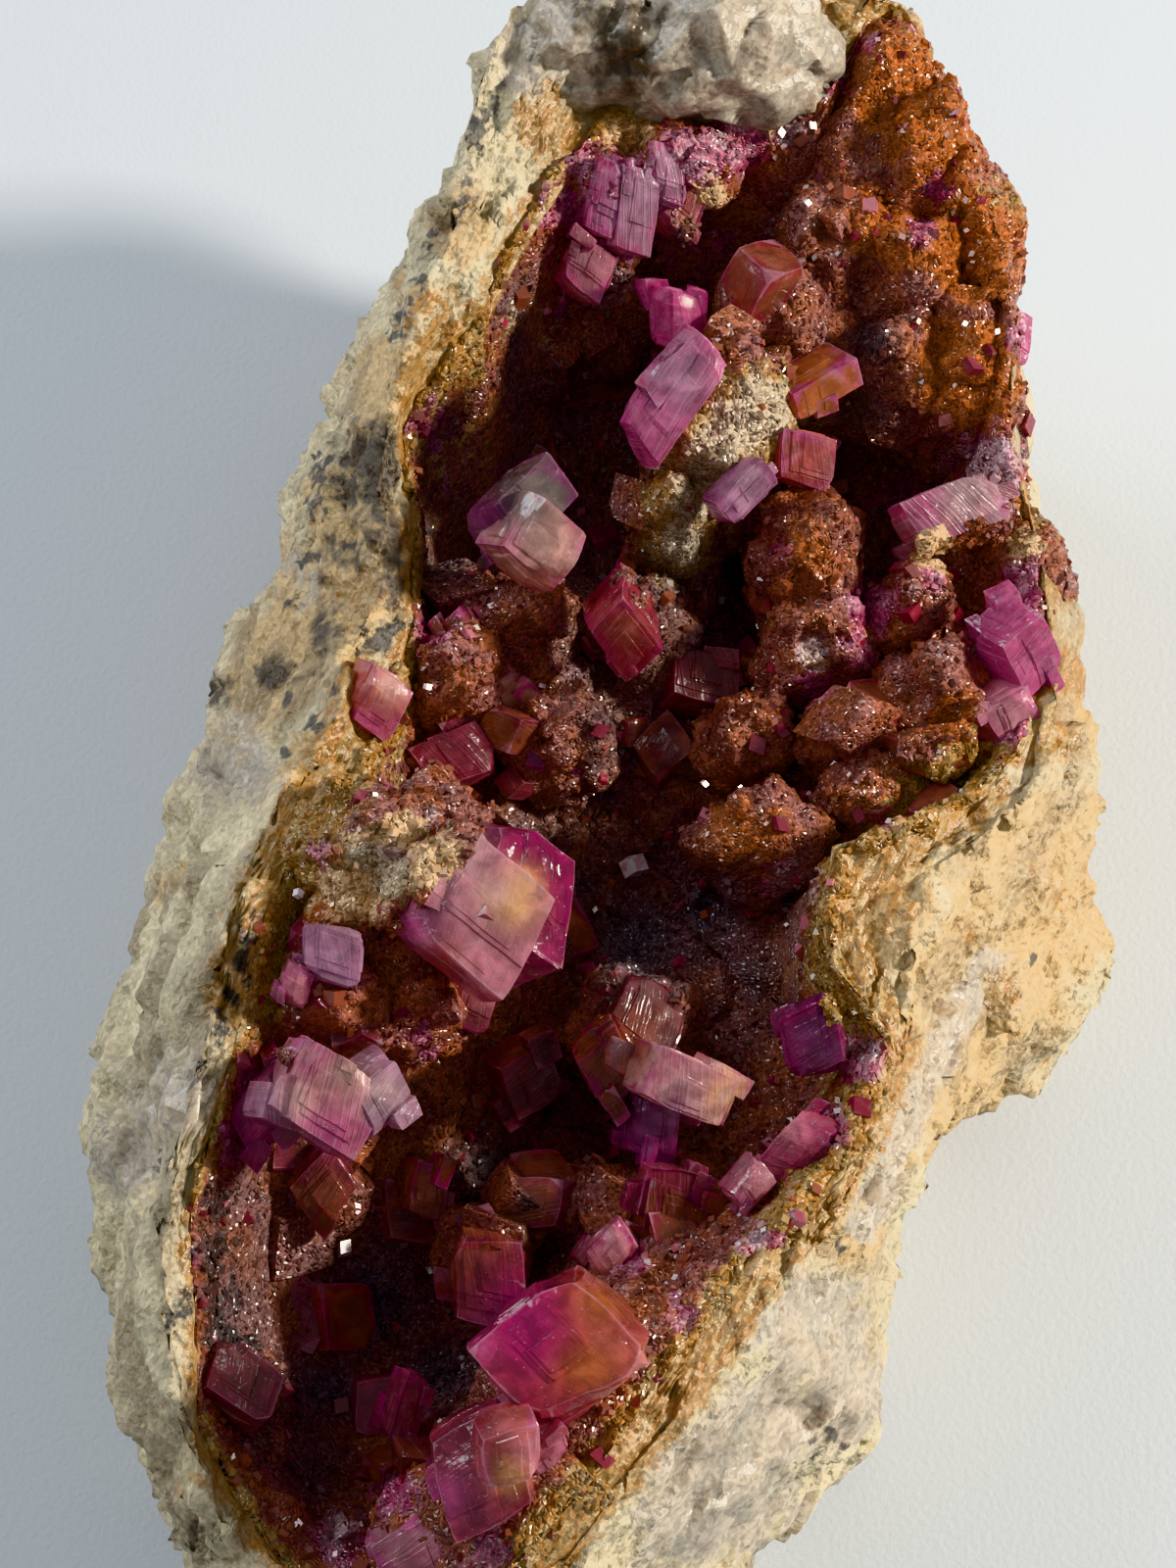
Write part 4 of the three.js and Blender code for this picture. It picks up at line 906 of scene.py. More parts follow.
BLACK_PATCHES = [
    (232, 1290, 1.8, 1), (240, 1350, 2.0, 1), (222, 1230, 1.3, 0.8), (262, 1255, 1.2, 0.8),
    (255, 930, 0.9, 0.8), (243, 1000, 0.9, 0.8),
]
BARE_RIM_PATCHES = [
    (960, 120, 6, 1), (1010, 300, 6, 1), (1030, 420, 4, 1), (1060, 600, 4, 1), (240, 1350, 6, 1),
]


def crust_marks(points):
    """The crust's marks: ochre sugar near the pocket's edge and round the bare spar, pink, frost, olive,
    spar, soot, painted sunlight on sunlit spots, and painted shade in the hollows and by the depth in the
    pocket, which on a few walls also darkens the crust's own black."""
    reach, angle = round_axis(points)
    edge = pocket_at(angle)
    depth = edge[1] - points[:, 2]
    inside = np.maximum(edge[0] - reach, 0) / outward(angle, 1)
    sugar = [0.9 * np.exp(-((inside / 0.9) ** 2)) * (1 - patches(points, BARE_RIM_PATCHES))]
    sugar += [1.1 * ribbon(points, line, width) for line, width in zip(OCHRE_LINES, (1.8, 2.2, 2.6))]
    dark = patches(points, HOLLOW_PATCHES) * ease(depth, -1, 2.5)
    return {
        "sugar": np.maximum(np.max(sugar, 0) * ease(depth, 7, 3), patches(points, RING_PATCHES)),
        "pink": patches(points, PINK_PATCHES),
        "frost": patches(points, FROST_PATCHES),
        "olive": patches(points, OLIVE_PATCHES),
        "spar": patches(points, SPAR_PATCHES),
        "black": patches(points, BLACK_PATCHES),
        "painted_sunlight": patches(points, SUN_PATCHES),
        "depth_shade_and_black": np.maximum(0.65 * ease(depth, 2, 12), dark),
    }


RUST_ORANGE = (0.35, 0.120, 0.066)
BLOOD_BROWN = (0.30, 0.130, 0.115)
SUNLIT_ORANGE = (0.42, 0.125, 0.036)
DEPTH_SHADE_AND_BLACK = (0.130, 0.125, 0.140)
MAGENTA_GRAIN = (0.42, 0.095, 0.18)
LILAC_GRAIN = (0.54, 0.25, 0.34)
FROST_GRAIN = (0.60, 0.44, 0.46)
OLIVE_GRAIN = (0.74, 0.50, 0.29)
SPAR_GRAIN = (0.62, 0.49, 0.34)


def druse_colour(tree, chance):
    """The druse's colour: orange-brown with darker clouds, painted sunlight as a brighter orange on sunlit
    spots, painted shade in black-brown in the hollows and depths, with torn patches of magenta, frost,
    olive and bare spar; each grain is a little lighter or darker by its chance."""
    colour = mix(tree, ramp(tree, noise(tree, 2.4), 0.40, 0.62), BLOOD_BROWN, RUST_ORANGE)
    # Painted sunlight: a brighter orange laid on the sunlit spots.
    colour = laid(tree, colour, torn(tree, "painted_sunlight", 1.6, 1.2), SUNLIT_ORANGE)
    colour = laid(tree, colour, torn(tree, "olive", 1.0, 1.2), OLIVE_GRAIN)
    colour = laid(tree, colour, torn(tree, "sugar", 0.8, 1.3), golden_sugar(tree))
    pinks = mix(tree, ramp(tree, noise(tree, 1.3), 0.42, 0.58), MAGENTA_GRAIN, LILAC_GRAIN)
    colour = laid(tree, colour, torn(tree, "pink", 0.9, 1.3), pinks, 0.85)
    colour = laid(tree, colour, torn(tree, "frost", 0.7, 1.5), FROST_GRAIN, 0.75)
    colour = laid(tree, colour, torn(tree, "spar", 0.9, 0.9), SPAR_GRAIN)
    # Painted shade: the hollows and the depths of the pocket are darkened towards black-brown.
    colour = laid(tree, colour, mark(tree, "depth_shade_and_black"), DEPTH_SHADE_AND_BLACK, 0.95)
    colour = laid(tree, colour, torn(tree, "black", 0.9, 1.3), SOOT, 0.75)
    return shaded(tree, colour, ramp(tree, chance, 0, 1, 0.66, 1.42))


druse, tree, surface = shader("rusty_druse", Roughness=0.24, IOR=1.68)
glint = sparkle(tree, 0.25, 0.95)
tree.links.new(druse_colour(tree, glint["Chance"]), surface.inputs["Base Color"])
roughen(tree, surface, glint["Edge"], 0.25, 0.9, glint["Normal"])

crust_piece = piece("druse_floor", crust_points, crust_quads, crust_caps, druse, "druse",
                    **crust_marks(crust_points))
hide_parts("druse_crust")


# Druse lumps. Where older crystals stood, the grains built up round them into knobbly lumps. They are part of
# the crust and of the same rusty grains. One of them, a stump behind the middle, is broken across its top and
# shows its core of white spar.
KNOBS = [
    (900, 85, 26, 3.2, 3.8, 4.5), (942, 172, 24, 3, 4, 5.5), (855, 255, 22, 3.8, 3.4, 4.5),
    (930, 295, 21, 3.6, 3.6, 5.5), (992, 265, 20, 2.6, 4, 6.5), (985, 375, 19, 2.8, 4, 6.5),
    (925, 395, 18, 3.4, 3.6, 6), (738, 452, 19, 4.4, 5.6, 7.4), (820, 580, 17, 3.3, 3.8, 6.5),
    (830, 680, 15, 3.6, 3, 5.5), (385, 885, 21.8, 4.6, 3.8, 6.4), (395, 1000, 19, 3.7, 3, 5.5),
]
SWELLS = [
    (880, 175, 24, 3.4, 3.2, 4), (985, 440, 17, 3.2, 2.6, 5.5), (785, 320, 18, 3.4, 3.6, 5),
    (835, 385, 17, 3.2, 3.4, 6), (600, 260, 20, 3.2, 2.6, 3.5), (625, 345, 15, 3.8, 3.2, 5),
    (530, 375, 15, 3.2, 3, 4.5), (440, 410, 17, 2.2, 2.8, 5), (925, 640, 16, 2.7, 2.6, 4.5),
    (960, 725, 16, 3.9, 3, 5), (1035, 600, 15, 2.9, 3.6, 5.5), (490, 665, 14, 3.8, 3.6, 5.5),
    (660, 660, 14, 3, 3, 5), (560, 720, 13, 3, 2.6, 4), (780, 865, 14, 4, 2.8, 4.5),
    (890, 815, 15, 3.4, 2.2, 3.5), (310, 925, 19, 2.8, 3, 4.5), (650, 1055, 14, 3.4, 3, 5),
    (255, 1120, 17, 2.2, 3, 4.5), (330, 1225, 12, 2.2, 2.2, 3.5), (500, 1290, 11, 2.8, 3, 4),
    (690, 1245, 14, 3.8, 2.8, 4.5), (440, 1220, 10, 2.2, 2, 3), (240, 1425, 12, 2.8, 2.8, 4),
    (600, 1410, 17, 4.4, 3.6, 5.5), (470, 1560, 14, 4, 3.4, 5), (330, 1590, 9, 3.4, 2.8, 4),
]
COAT_LUMPS = [
    (345, 915, 22.0, 3.0, 2.4, 3.6), (445, 842, 24.0, 2.6, 2.2, 4.6), (345, 1030, 20.6, 3.4, 2.4, 4.8),
    (400, 872, 24.6, 3.2, 2.8, 4.0), (438, 850, 25.8, 2.3, 2.0, 3.4), (365, 915, 23.8, 2.7, 2.4, 3.0),
    (338, 950, 22.5, 2.2, 2.2, 3.3), (415, 925, 24.6, 2.0, 2.2, 3.6), (470, 705, 17.0, 3.2, 2.8, 4.5),
    (535, 650, 16.0, 3.0, 3.0, 4.8), (693, 545, 17.5, 2.6, 2.8, 5.2), (570, 765, 15.0, 3.4, 2.4, 4.0),
    (700, 168, 25.2, 3.4, 2.4, 2.6), (615, 190, 24.6, 3.2, 2.2, 2.8), (795, 335, 20.5, 3.4, 3.4, 5.0),
    (835, 300, 21, 2.4, 2.4, 4.0), (760, 135, 25.4, 2.6, 2.0, 2.4), (420, 1030, 19.5, 2.6, 2.4, 4.0),
    (760, 760, 14.5, 3.0, 2.4, 3.6), (700, 600, 14.0, 2.4, 2.2, 3.6), (600, 1240, 12.5, 3.0, 2.4, 4.0),
    (860, 760, 15.5, 2.6, 2.2, 4.0),
]
LUMP_GRID = (52, 28)
SOWING_GRID = (64, 34)
STUMPS = ((738, 452, 19, 4.4, 5.6, 7.4), (693, 545, 17.5, 2.6, 2.8, 5.2))
BREAK_POINT = (732, 462, 24.2)
BREAK_NORMAL = unit(np.array([-0.10, -0.34, 0.93]))


def joined(skins):
    """Several closed skins as the points and faces of one piece."""
    counts = np.cumsum([0] + [len(skin[0]) for skin in skins[:-1]])
    points = np.concatenate([skin[0] for skin in skins])
    quads, caps = (np.concatenate([skin[k] + start for skin, start in zip(skins, counts)]) for k in (1, 2))
    return points, quads, caps


def knobbly_lump(row, spokes, rings):
    """A lump as rings: a dented ball with the druse's relief on it. A stump is cut off by its break first."""
    px, py, level, *radii = row
    lump = dented(seen(px, py, level), np.array(radii), spokes, rings)
    if row in STUMPS:
        lump = cut_flat(lump, seen(*BREAK_POINT), BREAK_NORMAL)
    return lump + normals(lump) * (botryoidal(lump) - 0.1)[..., None]


# The sowing grid isn't meshed: rhombs and grains are strewn over it in the next sections.
all_lumps = KNOBS + SWELLS + COAT_LUMPS
sown_lumps = [knobbly_lump(row, *SOWING_GRID) for row in all_lumps]
lump_points, lump_quads, lump_caps = joined([closed(knobbly_lump(row, *LUMP_GRID)) for row in all_lumps])
lump_piece = piece("druse_lumps", lump_points, lump_quads, lump_caps, druse, "druse",
                   **crust_marks(lump_points))
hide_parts("druse_crust")


# Large rhombs. Cobaltoan dolomite in rhombs of two to seven millimetres, glassy, magenta at the rim and paler
# or orange inside, with growth steps on every face. Rhombs that touch grew together into one cluster.
MAGENTA = (0.48, 0.020, 0.17)
HOT_PINK = (0.78, 0.17, 0.38)
ROSE = (0.80, 0.31, 0.38)
SALMON = (0.98, 0.56, 0.48)
ORANGE = (0.60, 0.19, 0.07)
GOLD = (0.92, 0.52, 0.22)
LAVENDER = (0.66, 0.33, 0.49)
VIOLET = (0.34, 0.085, 0.22)
RUST = (0.40, 0.130, 0.085)
MAROON = (0.26, 0.090, 0.090)
SMOKE = (0.25, 0.20, 0.19)
WINE = (0.38, 0.090, 0.125)
CORAL = (0.70, 0.19, 0.17)
CARMINE = (0.46, 0.065, 0.105)
PALE_VEIL = (0.70, 0.45, 0.47)
HEART_PINK = (0.92, 0.44, 0.52)
TWIN_SALMON = (0.96, 0.54, 0.48)
WARM_RED = (0.66, 0.22, 0.17)
BLADE_PINK = (0.84, 0.40, 0.60)
COLUMN_PINK = (0.72, 0.24, 0.46)
COLUMN_MAUVE = (0.64, 0.26, 0.42)
PLATE_PINK = (0.86, 0.26, 0.50)
DEEP_MAGENTA = (0.30, 0.009, 0.090)
DEEP_ROSE = (0.40, 0.015, 0.12)
BLADE_RED = (0.58, 0.10, 0.20)
FROST_PINK = (0.74, 0.55, 0.60)
DUST_AND_GLINT_PINK = (0.86, 0.66, 0.68)
EDGE_HIGHLIGHT_PINK = (0.90, 0.50, 0.62)
PASSED_LIGHT = (0.95, 0.40, 0.50, 1)
ABSORPTION = 120.0

# Colour zones: pixel, radius in millimetres, colour. The crystals took up more or less cobalt and iron as
# they grew, so each one is magenta, rose, orange and gold in soft clouds.
ZONES = [
    (524, 925, 1.2, GOLD), (534, 900, 0.8, GOLD), (505, 912, 0.9, SALMON), (425, 945, 1.0, HOT_PINK),
    (455, 985, 1.2, CORAL), (505, 1000, 1.8, ROSE), (470, 865, 1.5, PALE_VEIL), (530, 1335, 2.6, MAGENTA),
    (485, 1375, 1.0, HOT_PINK), (560, 1370, 1.8, MAGENTA), (615, 1325, 1.8, ORANGE), (645, 1385, 1.8, CORAL),
    (600, 1400, 1.8, ORANGE), (590, 1450, 1.6, CARMINE), (470, 1440, 2.0, WINE), (455, 1530, 1.3, HOT_PINK),
    (500, 1560, 1.6, WINE), (522, 1505, 0.9, GOLD), (545, 1480, 1.0, ROSE), (738, 1112, 0.9, GOLD),
    (705, 1095, 1.2, HEART_PINK), (690, 1130, 1.0, LAVENDER), (640, 1060, 1.6, RUST),
    (300, 1120, 1.2, SALMON), (340, 1155, 1.4, HOT_PINK), (395, 1115, 1.2, PALE_VEIL),
    (268, 1125, 1.2, LAVENDER), (252, 1165, 1.2, MAGENTA), (355, 1095, 1.0, SALMON),
    (555, 572, 1.4, TWIN_SALMON), (535, 515, 1.6, SMOKE), (497, 525, 1.1, VIOLET), (634, 645, 1.4, WARM_RED),
    (604, 670, 1.1, MAGENTA), (705, 392, 1.2, LAVENDER), (655, 450, 1.3, HOT_PINK),
    (985, 500, 1.6, PALE_VEIL), (940, 520, 1.0, HOT_PINK), (650, 205, 1.2, LAVENDER), (400, 700, 1.0, SALMON),
    (380, 740, 0.8, HOT_PINK), (1055, 690, 1.2, HOT_PINK), (800, 1150, 1.2, ROSE),
]
# How round a cluster's rhombs are, how many smaller rhombs grow out of each, and how striped its faces are.
HABITS = {
    "front_group": (0.30, 2, 0.1), "ridge_pair": (0.05, 1, 0.15), "lavender_pair": (0.10, 3, 0.2),
    "island_rim_plate": (0.03, 3, 0.8), "layered_block": (0.08, 5, 1.0), "blades_under_cap": (0.06, 4, 1.0),
    "island_rim_rust": (0.05, 1, 0.3), "island_rim_violet": (0.05, 1, 0.5), "left_rim_rhomb": (0.05, 1, 0.2),
    "left_cluster": (0.07, 6, 0.6), "clear_twin": (0.03, 2, 0.1), "magenta_rhomb": (0.04, 2, 0.2),
    "east_shelf": (0.08, 6, 0.9), "orange_heart_group": (0.10, 5, 0.3), "white_faced_rhomb": (0.08, 3, 0.2),
}
PLAIN_HABIT = (0.07, 4, 0.3)

# Each rhomb: the face's pixel and height, three edges, turn, tilt to the right and up, then the colours of
# its core and its rim, and how frosted it is.
CRYSTALS = {
    "blades_under_cap": [
        ((652, 215, 26), (2.4, 4.8, 2.2), -20, (10, -20), BLADE_PINK, HOT_PINK, 0.7),
        ((600, 178, 26.5), (3.4, 1.8, 2), 20, (-20, 10), HOT_PINK, MAGENTA, 0.3),
        ((703, 208, 25.4), (2.2, 2.8, 2.4), -40, (20, -10), CORAL, HOT_PINK, 0.6),
        ((622, 200, 26.6), (1.9, 4.4, 2.0), -28, (4, -18), COLUMN_PINK, MAGENTA, 0.5),
        ((684, 176, 27.2), (2.0, 3.4, 2.0), -14, (12, -12), COLUMN_MAUVE, HOT_PINK, 0.6),
    ],
    "block_behind_island": [((695, 330, 26), (2.9, 3.4, 5), -10, (-10, -25), HOT_PINK, MAGENTA, 0.25)],
    "island_rim_plate": [((691, 412, 27), (2.9, 7.2, 3), -47, (-5, -18), PLATE_PINK, HOT_PINK, 0.5)],
    "island_rim_violet": [((764, 504, 24.2), (1.8, 3.6, 2), -58, (5, -15), LAVENDER, VIOLET, 0.5)],
    "island_rim_rust": [
        ((826, 470, 23.2), (3.2, 3.1, 3), -15, (5, -20), CORAL, HOT_PINK, 0.4),
        ((846, 400, 23.2), (1.8, 4.2, 3), -75, (15, -20), ORANGE, HOT_PINK, 0.4),
    ],
    "clear_twin": [
        ((550, 508, 25), (3, 4.2, 4.5), -56, (10, 12), SMOKE, VIOLET, 0.15),
        ((560, 553, 25.5), (4, 3.5, 4.5), -41, (4, -8), SALMON, HOT_PINK, 0.2),
    ],
    "magenta_rhomb": [((636, 659, 23.5), (3.6, 3.6, 5), -51, (-18, -25), CARMINE, MAGENTA, 0.15)],
    "left_rim_rhomb": [((393, 720, 23), (2.6, 3.4, 3.2), -40, (10, -15), CORAL, HOT_PINK, 0.35)],
    "broken_plate_left": [((465, 769, 18), (4.1, 3.1, 2.6), 22, (5, -5), WINE, CARMINE, 0.05)],
    "broken_plate_right": [((568, 755, 17), (3, 3.7, 1.4), 72, (15, 5), VIOLET, MAGENTA, 0.05)],
    "rust_pair_left": [
        ((464, 660, 20), (3.2, 3.4, 3), -60, (-20, 5), RUST, HOT_PINK, 0.2),
        ((520, 716, 18.5), (2.6, 2.6, 3), -50, (0, -20), SALMON, MAGENTA, 0.2),
    ],
    "ridge_pair": [
        ((494, 930, 28.3), (6.2, 5.8, 3.6), -40, (5, 0), ROSE, ROSE, 0.5),
        ((547, 902, 27), (5.4, 6.4, 5), -20, (40, 24), DEEP_MAGENTA, DEEP_ROSE, 0.0),
    ],
    "ridge_foot": [((485, 1025, 20), (2.6, 3.2, 3), -30, (10, -20), MAROON, MAGENTA, 0.1)],
    "ridge_spike": [((398, 828, 24), (2.6, 2.6, 3.4), -50, (10, 25), HOT_PINK, MAGENTA, 0.05)],
    "lavender_pair": [
        ((341, 973, 27), (3, 3.1, 3.2), -15, (-8, -8), LAVENDER, LAVENDER, 0.3),
        ((303, 1008, 25.5), (1.6, 2, 2.4), -30, (-10, -15), ROSE, HOT_PINK, 0.3),
    ],
    "left_cluster": [
        ((345, 1126, 24.5), (4.4, 4.2, 4), -36, (8, -8), ROSE, HOT_PINK, 0.5),
        ((268, 1142, 21.5), (3, 3.8, 3.6), -60, (-20, -15), WINE, MAGENTA, 0.1),
        ((398, 1124, 24), (2.8, 2.8, 3), -62, (20, 0), LAVENDER, LAVENDER, 0.8),
    ],
    "orange_heart_group": [
        ((711, 1113, 22.5), (5.2, 2.9, 3.2), -27, (8, -18), SALMON, HOT_PINK, 0.65),
        ((668, 1152, 19.5), (2.6, 3.2, 3), -20, (-5, -10), VIOLET, MAGENTA, 0.1),
        ((626, 1092, 20.5), (3.2, 3.2, 3.6), -60, (-12, -8), RUST, MAGENTA, 0.1),
        ((665, 1035, 19), (3.8, 3.8, 3.4), -35, (10, 20), MAROON, WINE, 0.2),
    ],
    "wedge_plate": [((828, 1062, 21), (3.4, 3.4, 1.6), -75, (-25, -10), VIOLET, MAGENTA, 0.2)],
    "right_rim_blades": [
        ((808, 1176, 21.5), (4.6, 2.4, 3), 54, (-10, -15), BLADE_RED, MAGENTA, 0.25),
        ((772, 1212, 21), (1.6, 2.4, 2), -55, (5, -10), ROSE, HOT_PINK, 0.4),
    ],
    "front_group": [
        ((568, 1382, 28), (6.6, 6.2, 5.6), 215, (-4, 18), CARMINE, CARMINE, 0.05),
        ((492, 1506, 24.5), (5.4, 4.8, 5), -75, (-17, 8), WINE, CARMINE, 0.05),
        ((525, 1490, 27.5), (2.9, 3, 3), -85, (0, -10), CORAL, HOT_PINK, 0.1),
        ((563, 1482, 26), (1.4, 2.2, 2), -60, (5, 0), ROSE, HOT_PINK, 0.4),
    ],
    "front_edge_slab": [((425, 1590, 17), (3.6, 4.4, 3.4), -70, (-15, -5), ROSE, HOT_PINK, 0.3)],
    "white_faced_rhomb": [((251, 1406, 18), (4, 2.9, 4), -32, (5, 18), MAROON, WINE, 0.2)],
    "shade_prism": [((420, 1440, 14), (1.6, 3.8, 2), -30, (10, -10), WINE, MAGENTA, 0.1)],
    "rust_block_front": [((500, 1308, 17), (3.8, 5, 4.4), -10, (-10, -10), RUST, WINE, 0.1)],
    "layered_block": [
        ((688, 1222, 19.4), (3.4, 3.4, 1.4), -25, (5, -20), WINE, MAGENTA, 0.2),
        ((696, 1246, 18.6), (4, 3.6, 1.6), -22, (5, -20), RUST, WINE, 0.2),
        ((708, 1266, 17.6), (3.6, 3.4, 2.4), -19, (5, -20), WINE, MAGENTA, 0.2),
    ],
    "violet_corner": [((628, 1277, 19), (2.2, 2.6, 2.8), -55, (-10, 5), ROSE, MAGENTA, 0.3)],
    "orange_rhomb": [((332, 1215, 16), (3, 3.2, 3.2), -55, (-5, -10), RUST, WINE, 0.05)],
    "shade_rhomb": [((545, 1105, 14), (3.2, 3, 3.2), -70, (5, -5), MAROON, WINE, 0.1)],
    "rust_rhomb_low": [((440, 1215, 14), (2.2, 3, 2.8), -20, (0, -10), RUST, MAGENTA, 0.15)],
    "east_rim_pair": [
        ((1058, 672, 21.5), (3.6, 3, 3.4), -65, (15, -20), HOT_PINK, HOT_PINK, 0.3),
        ((1038, 734, 20), (2.4, 3, 3.2), -70, (12, -10), ROSE, HOT_PINK, 0.4),
    ],
    "east_shelf": [((978, 518, 22.5), (5.4, 3, 3.6), 20, (5, -15), ROSE, HOT_PINK, 0.9)],
    "east_sliver": [((1044, 345, 21), (1.6, 3.2, 2), -20, (35, 0), HOT_PINK, MAGENTA, 0.3)],
    "east_rust_block": [((958, 768, 19.5), (4, 2.7, 3.2), 5, (5, -20), RUST, WINE, 0.15)],
    "striped_rhomb": [((722, 688, 16), (3.8, 3, 3.2), -15, (5, 10), MAROON, WINE, 0.1)],
    "cap_edge_rhomb": [((603, 275, 24), (2.8, 2.8, 3), -35, (-5, -10), ROSE, HOT_PINK, 0.6)],
}
COAT_PATCHES = [
    (375, 880, 2.0, 1), (410, 850, 2.2, 1), (395, 915, 1.0, 1), (440, 835, 2.2, 1), (452, 862, 1.6, 1),
    (430, 895, 1.4, 1), (470, 835, 1.2, 1), (400, 815, 0.8, 0.5), (660, 600, 1.2, 0.8), (640, 590, 0.8, 0.8),
    (1010, 560, 2.2, 1), (960, 560, 1.6, 0.9), (860, 1030, 1.3, 1), (960, 760, 2.2, 0.8),
    (500, 690, 1.2, 0.6), (660, 1400, 1.0, 0.9), (670, 1340, 1.0, 0.7), (600, 1040, 1.0, 0.6),
    (700, 1010, 1.2, 0.7), (700, 680, 1.0, 0.7), (480, 640, 1.0, 0.6), (560, 190, 1.0, 0.6),
    (700, 230, 1.0, 0.7), (300, 1080, 0.9, 0.7), (740, 1280, 1.4, 0.6), (990, 730, 1.0, 0.7),
    (500, 1280, 0.8, 0.5),
]
NO_CAPS = np.zeros((0, 3), int)
OBTUSE = np.radians(101.9)
CRYSTAL_CELL = 0.8
FEWEST_CELLS, MOST_CELLS = 2, 12
STEP_WIDTH = 0.015
GROWTH_STEP = 0.05
SMALL_STEP = 0.03
BROAD_BEND, FINE_BEND = 0.028, 0.045
CUT_SHARES = (0.74, 0.93)
SHARP_ANGLE = np.radians(28)


def turn_about(axis, degrees):
    """A turn about one of the three axes, as a matrix."""
    c, s = np.cos(np.radians(degrees)), np.sin(np.radians(degrees))
    a, b = [(1, 2), (2, 0), (0, 1)][axis]
    matrix = np.eye(3)
    matrix[a, a], matrix[a, b], matrix[b, a], matrix[b, b] = c, -s, s, c
    return matrix


def rhomb_edges(turn, tilt):
    """The three edge directions of a rhomb at its blunt corner, the first two in the face that looks at the
    viewer: unit vectors 101.9 degrees from each other, turned in the picture and then leant."""
    c, s = np.cos(OBTUSE), np.sin(OBTUSE)
    sideways = (c - c * c) / s
    edges = np.array([(1, 0, 0), (c, s, 0), (c, sideways, -np.sqrt(1 - c * c - sideways**2))])
    picture = np.stack([RIGHT, UP, TOWARDS], 1)
    return edges @ (picture @ turn_about(0, -tilt[1]) @ turn_about(1, tilt[0]) @ turn_about(2, turn)).T


def wavy(points, step, seed):
    """Three cloudy noises as one shift in space."""
    return np.stack([cloudy(points, step, seed + k) for k in range(3)], -1)


def crystal(middle, edges, lengths, seed, steps, step_height, chips, rounding=0.15, cell=CRYSTAL_CELL):
    """A rhomb's skin. Every face is a grid of two shares from -1 to 1, with a pair of grid lines at each
    growth step. A face falls by one step's height outside each of its terraces, which are nested
    parallelograms. Each share then shrinks with the squares of the other two, which rounds the edges. Corners
    and edges are cut off flat, and cloudy noise bends the whole. All shifts depend on the place alone, so
    faces that meet at an edge stay joined. With the skin come two marks: how near a place is to the rhomb's
    edges, and how far along its stripes."""
    dice = np.random.default_rng(seed)
    half = [edges[k] * lengths[k] / 2 for k in range(3)]
    if np.dot(np.cross(half[0], half[1]), half[2]) < 0:
        half[2] = -half[2]
    half = np.array(half)
    falls = dice.uniform(0.05, 0.85, (3, 2, steps))
    heights = step_height * dice.uniform(0.4, 1.6, (3, 2, steps))
    knots = []
    for k in range(3):
        ends = np.concatenate([falls[k, 0] - 1, 1 - falls[k, 1]])
        line = 2 * STEP_WIDTH / lengths[k]
        even = np.linspace(-1, 1, int(np.clip(lengths[k] / cell, FEWEST_CELLS, MOST_CELLS)) + 1)
        knots.append(np.unique(np.round(np.concatenate([even, ends - line, ends + line]), 6)))
    sizes = [len(k) for k in knots]
    chosen = dice.permuted(np.tile(np.arange(steps), (3, 2, 1)), axis=2)

    def terraces(own, side, s, t, a, b):
        """How far the face lies below its highest terrace."""
        order = chosen[own, side]
        fall = np.zeros(s.shape)
        for j in range(steps):
            within = (s > falls[a, 0, order[j]] - 1) & (s < 1 - falls[a, 1, order[j]])
            within &= (t > falls[b, 0, j] - 1) & (t < 1 - falls[b, 1, j])
            fall += np.where(within, 0, heights[own, side, j])
        return fall

    quads, keys, start = [], [], 0
    for axis, side in itertools.product(range(3), (0, 1)):
        a, b = (axis + 1) % 3, (axis + 2) % 3
        i, j = np.meshgrid(np.arange(sizes[a]), np.arange(sizes[b]), indexing="ij")
        place = np.zeros((*i.shape, 3), int)
        place[..., a], place[..., b], place[..., axis] = i, j, side * (sizes[axis] - 1)
        keys.append(place.reshape(-1, 3))
        index = start + np.arange(i.size).reshape(i.shape)
        ring = [index[:-1, :-1], index[1:, :-1], index[1:, 1:], index[:-1, 1:]]
        quads.append(np.stack(ring if side else ring[::-1], -1).reshape(-1, 4))
        start += i.size
    keys, back = np.unique(np.concatenate(keys), axis=0, return_inverse=True)
    quads = back.reshape(-1)[np.concatenate(quads)]
    share = np.stack([knots[k][keys[:, k]] for k in range(3)], -1)
    moved = share.copy()
    for k, side in itertools.product(range(3), (0, 1)):
        a, b = (k + 1) % 3, (k + 2) % 3
        on_face = keys[:, k] == side * (sizes[k] - 1)
        fall = terraces(k, side, share[:, a], share[:, b], a, b) / (lengths[k] / 2)
        moved[:, k] -= np.where(on_face, (2 * side - 1) * fall, 0)
    first, second = (np.clip(np.roll(moved, k, 1), -1, 1) ** 2 for k in (1, 2))
    shrink = np.sqrt(1 - rounding * (first + second) / 2 + rounding**2 * first * second / 3)
    points = middle + moved * shrink @ half
    for _ in range(chips):
        corner = dice.choice((-1, 1), 3) * dice.uniform(0.2, 1.0, 3)
        normal = unit(corner @ half + 0.25 * lengths.mean() * dice.normal(size=3))
        farthest = ((points - middle) @ normal).max()
        points = cut_flat(points, middle + normal * farthest * dice.uniform(*CUT_SHARES), normal)
    points = (points + BROAD_BEND * lengths.mean() * wavy(points, 2.4, 200)
              + FINE_BEND * wavy(points, 0.8, 210))
    rim = np.sort(np.abs(share), 1)[:, 1]
    stripe = share[:, 0] * lengths[0] / 2 + 0.35 * share[:, 1]
    return points, quads, NO_CAPS, rim, stripe


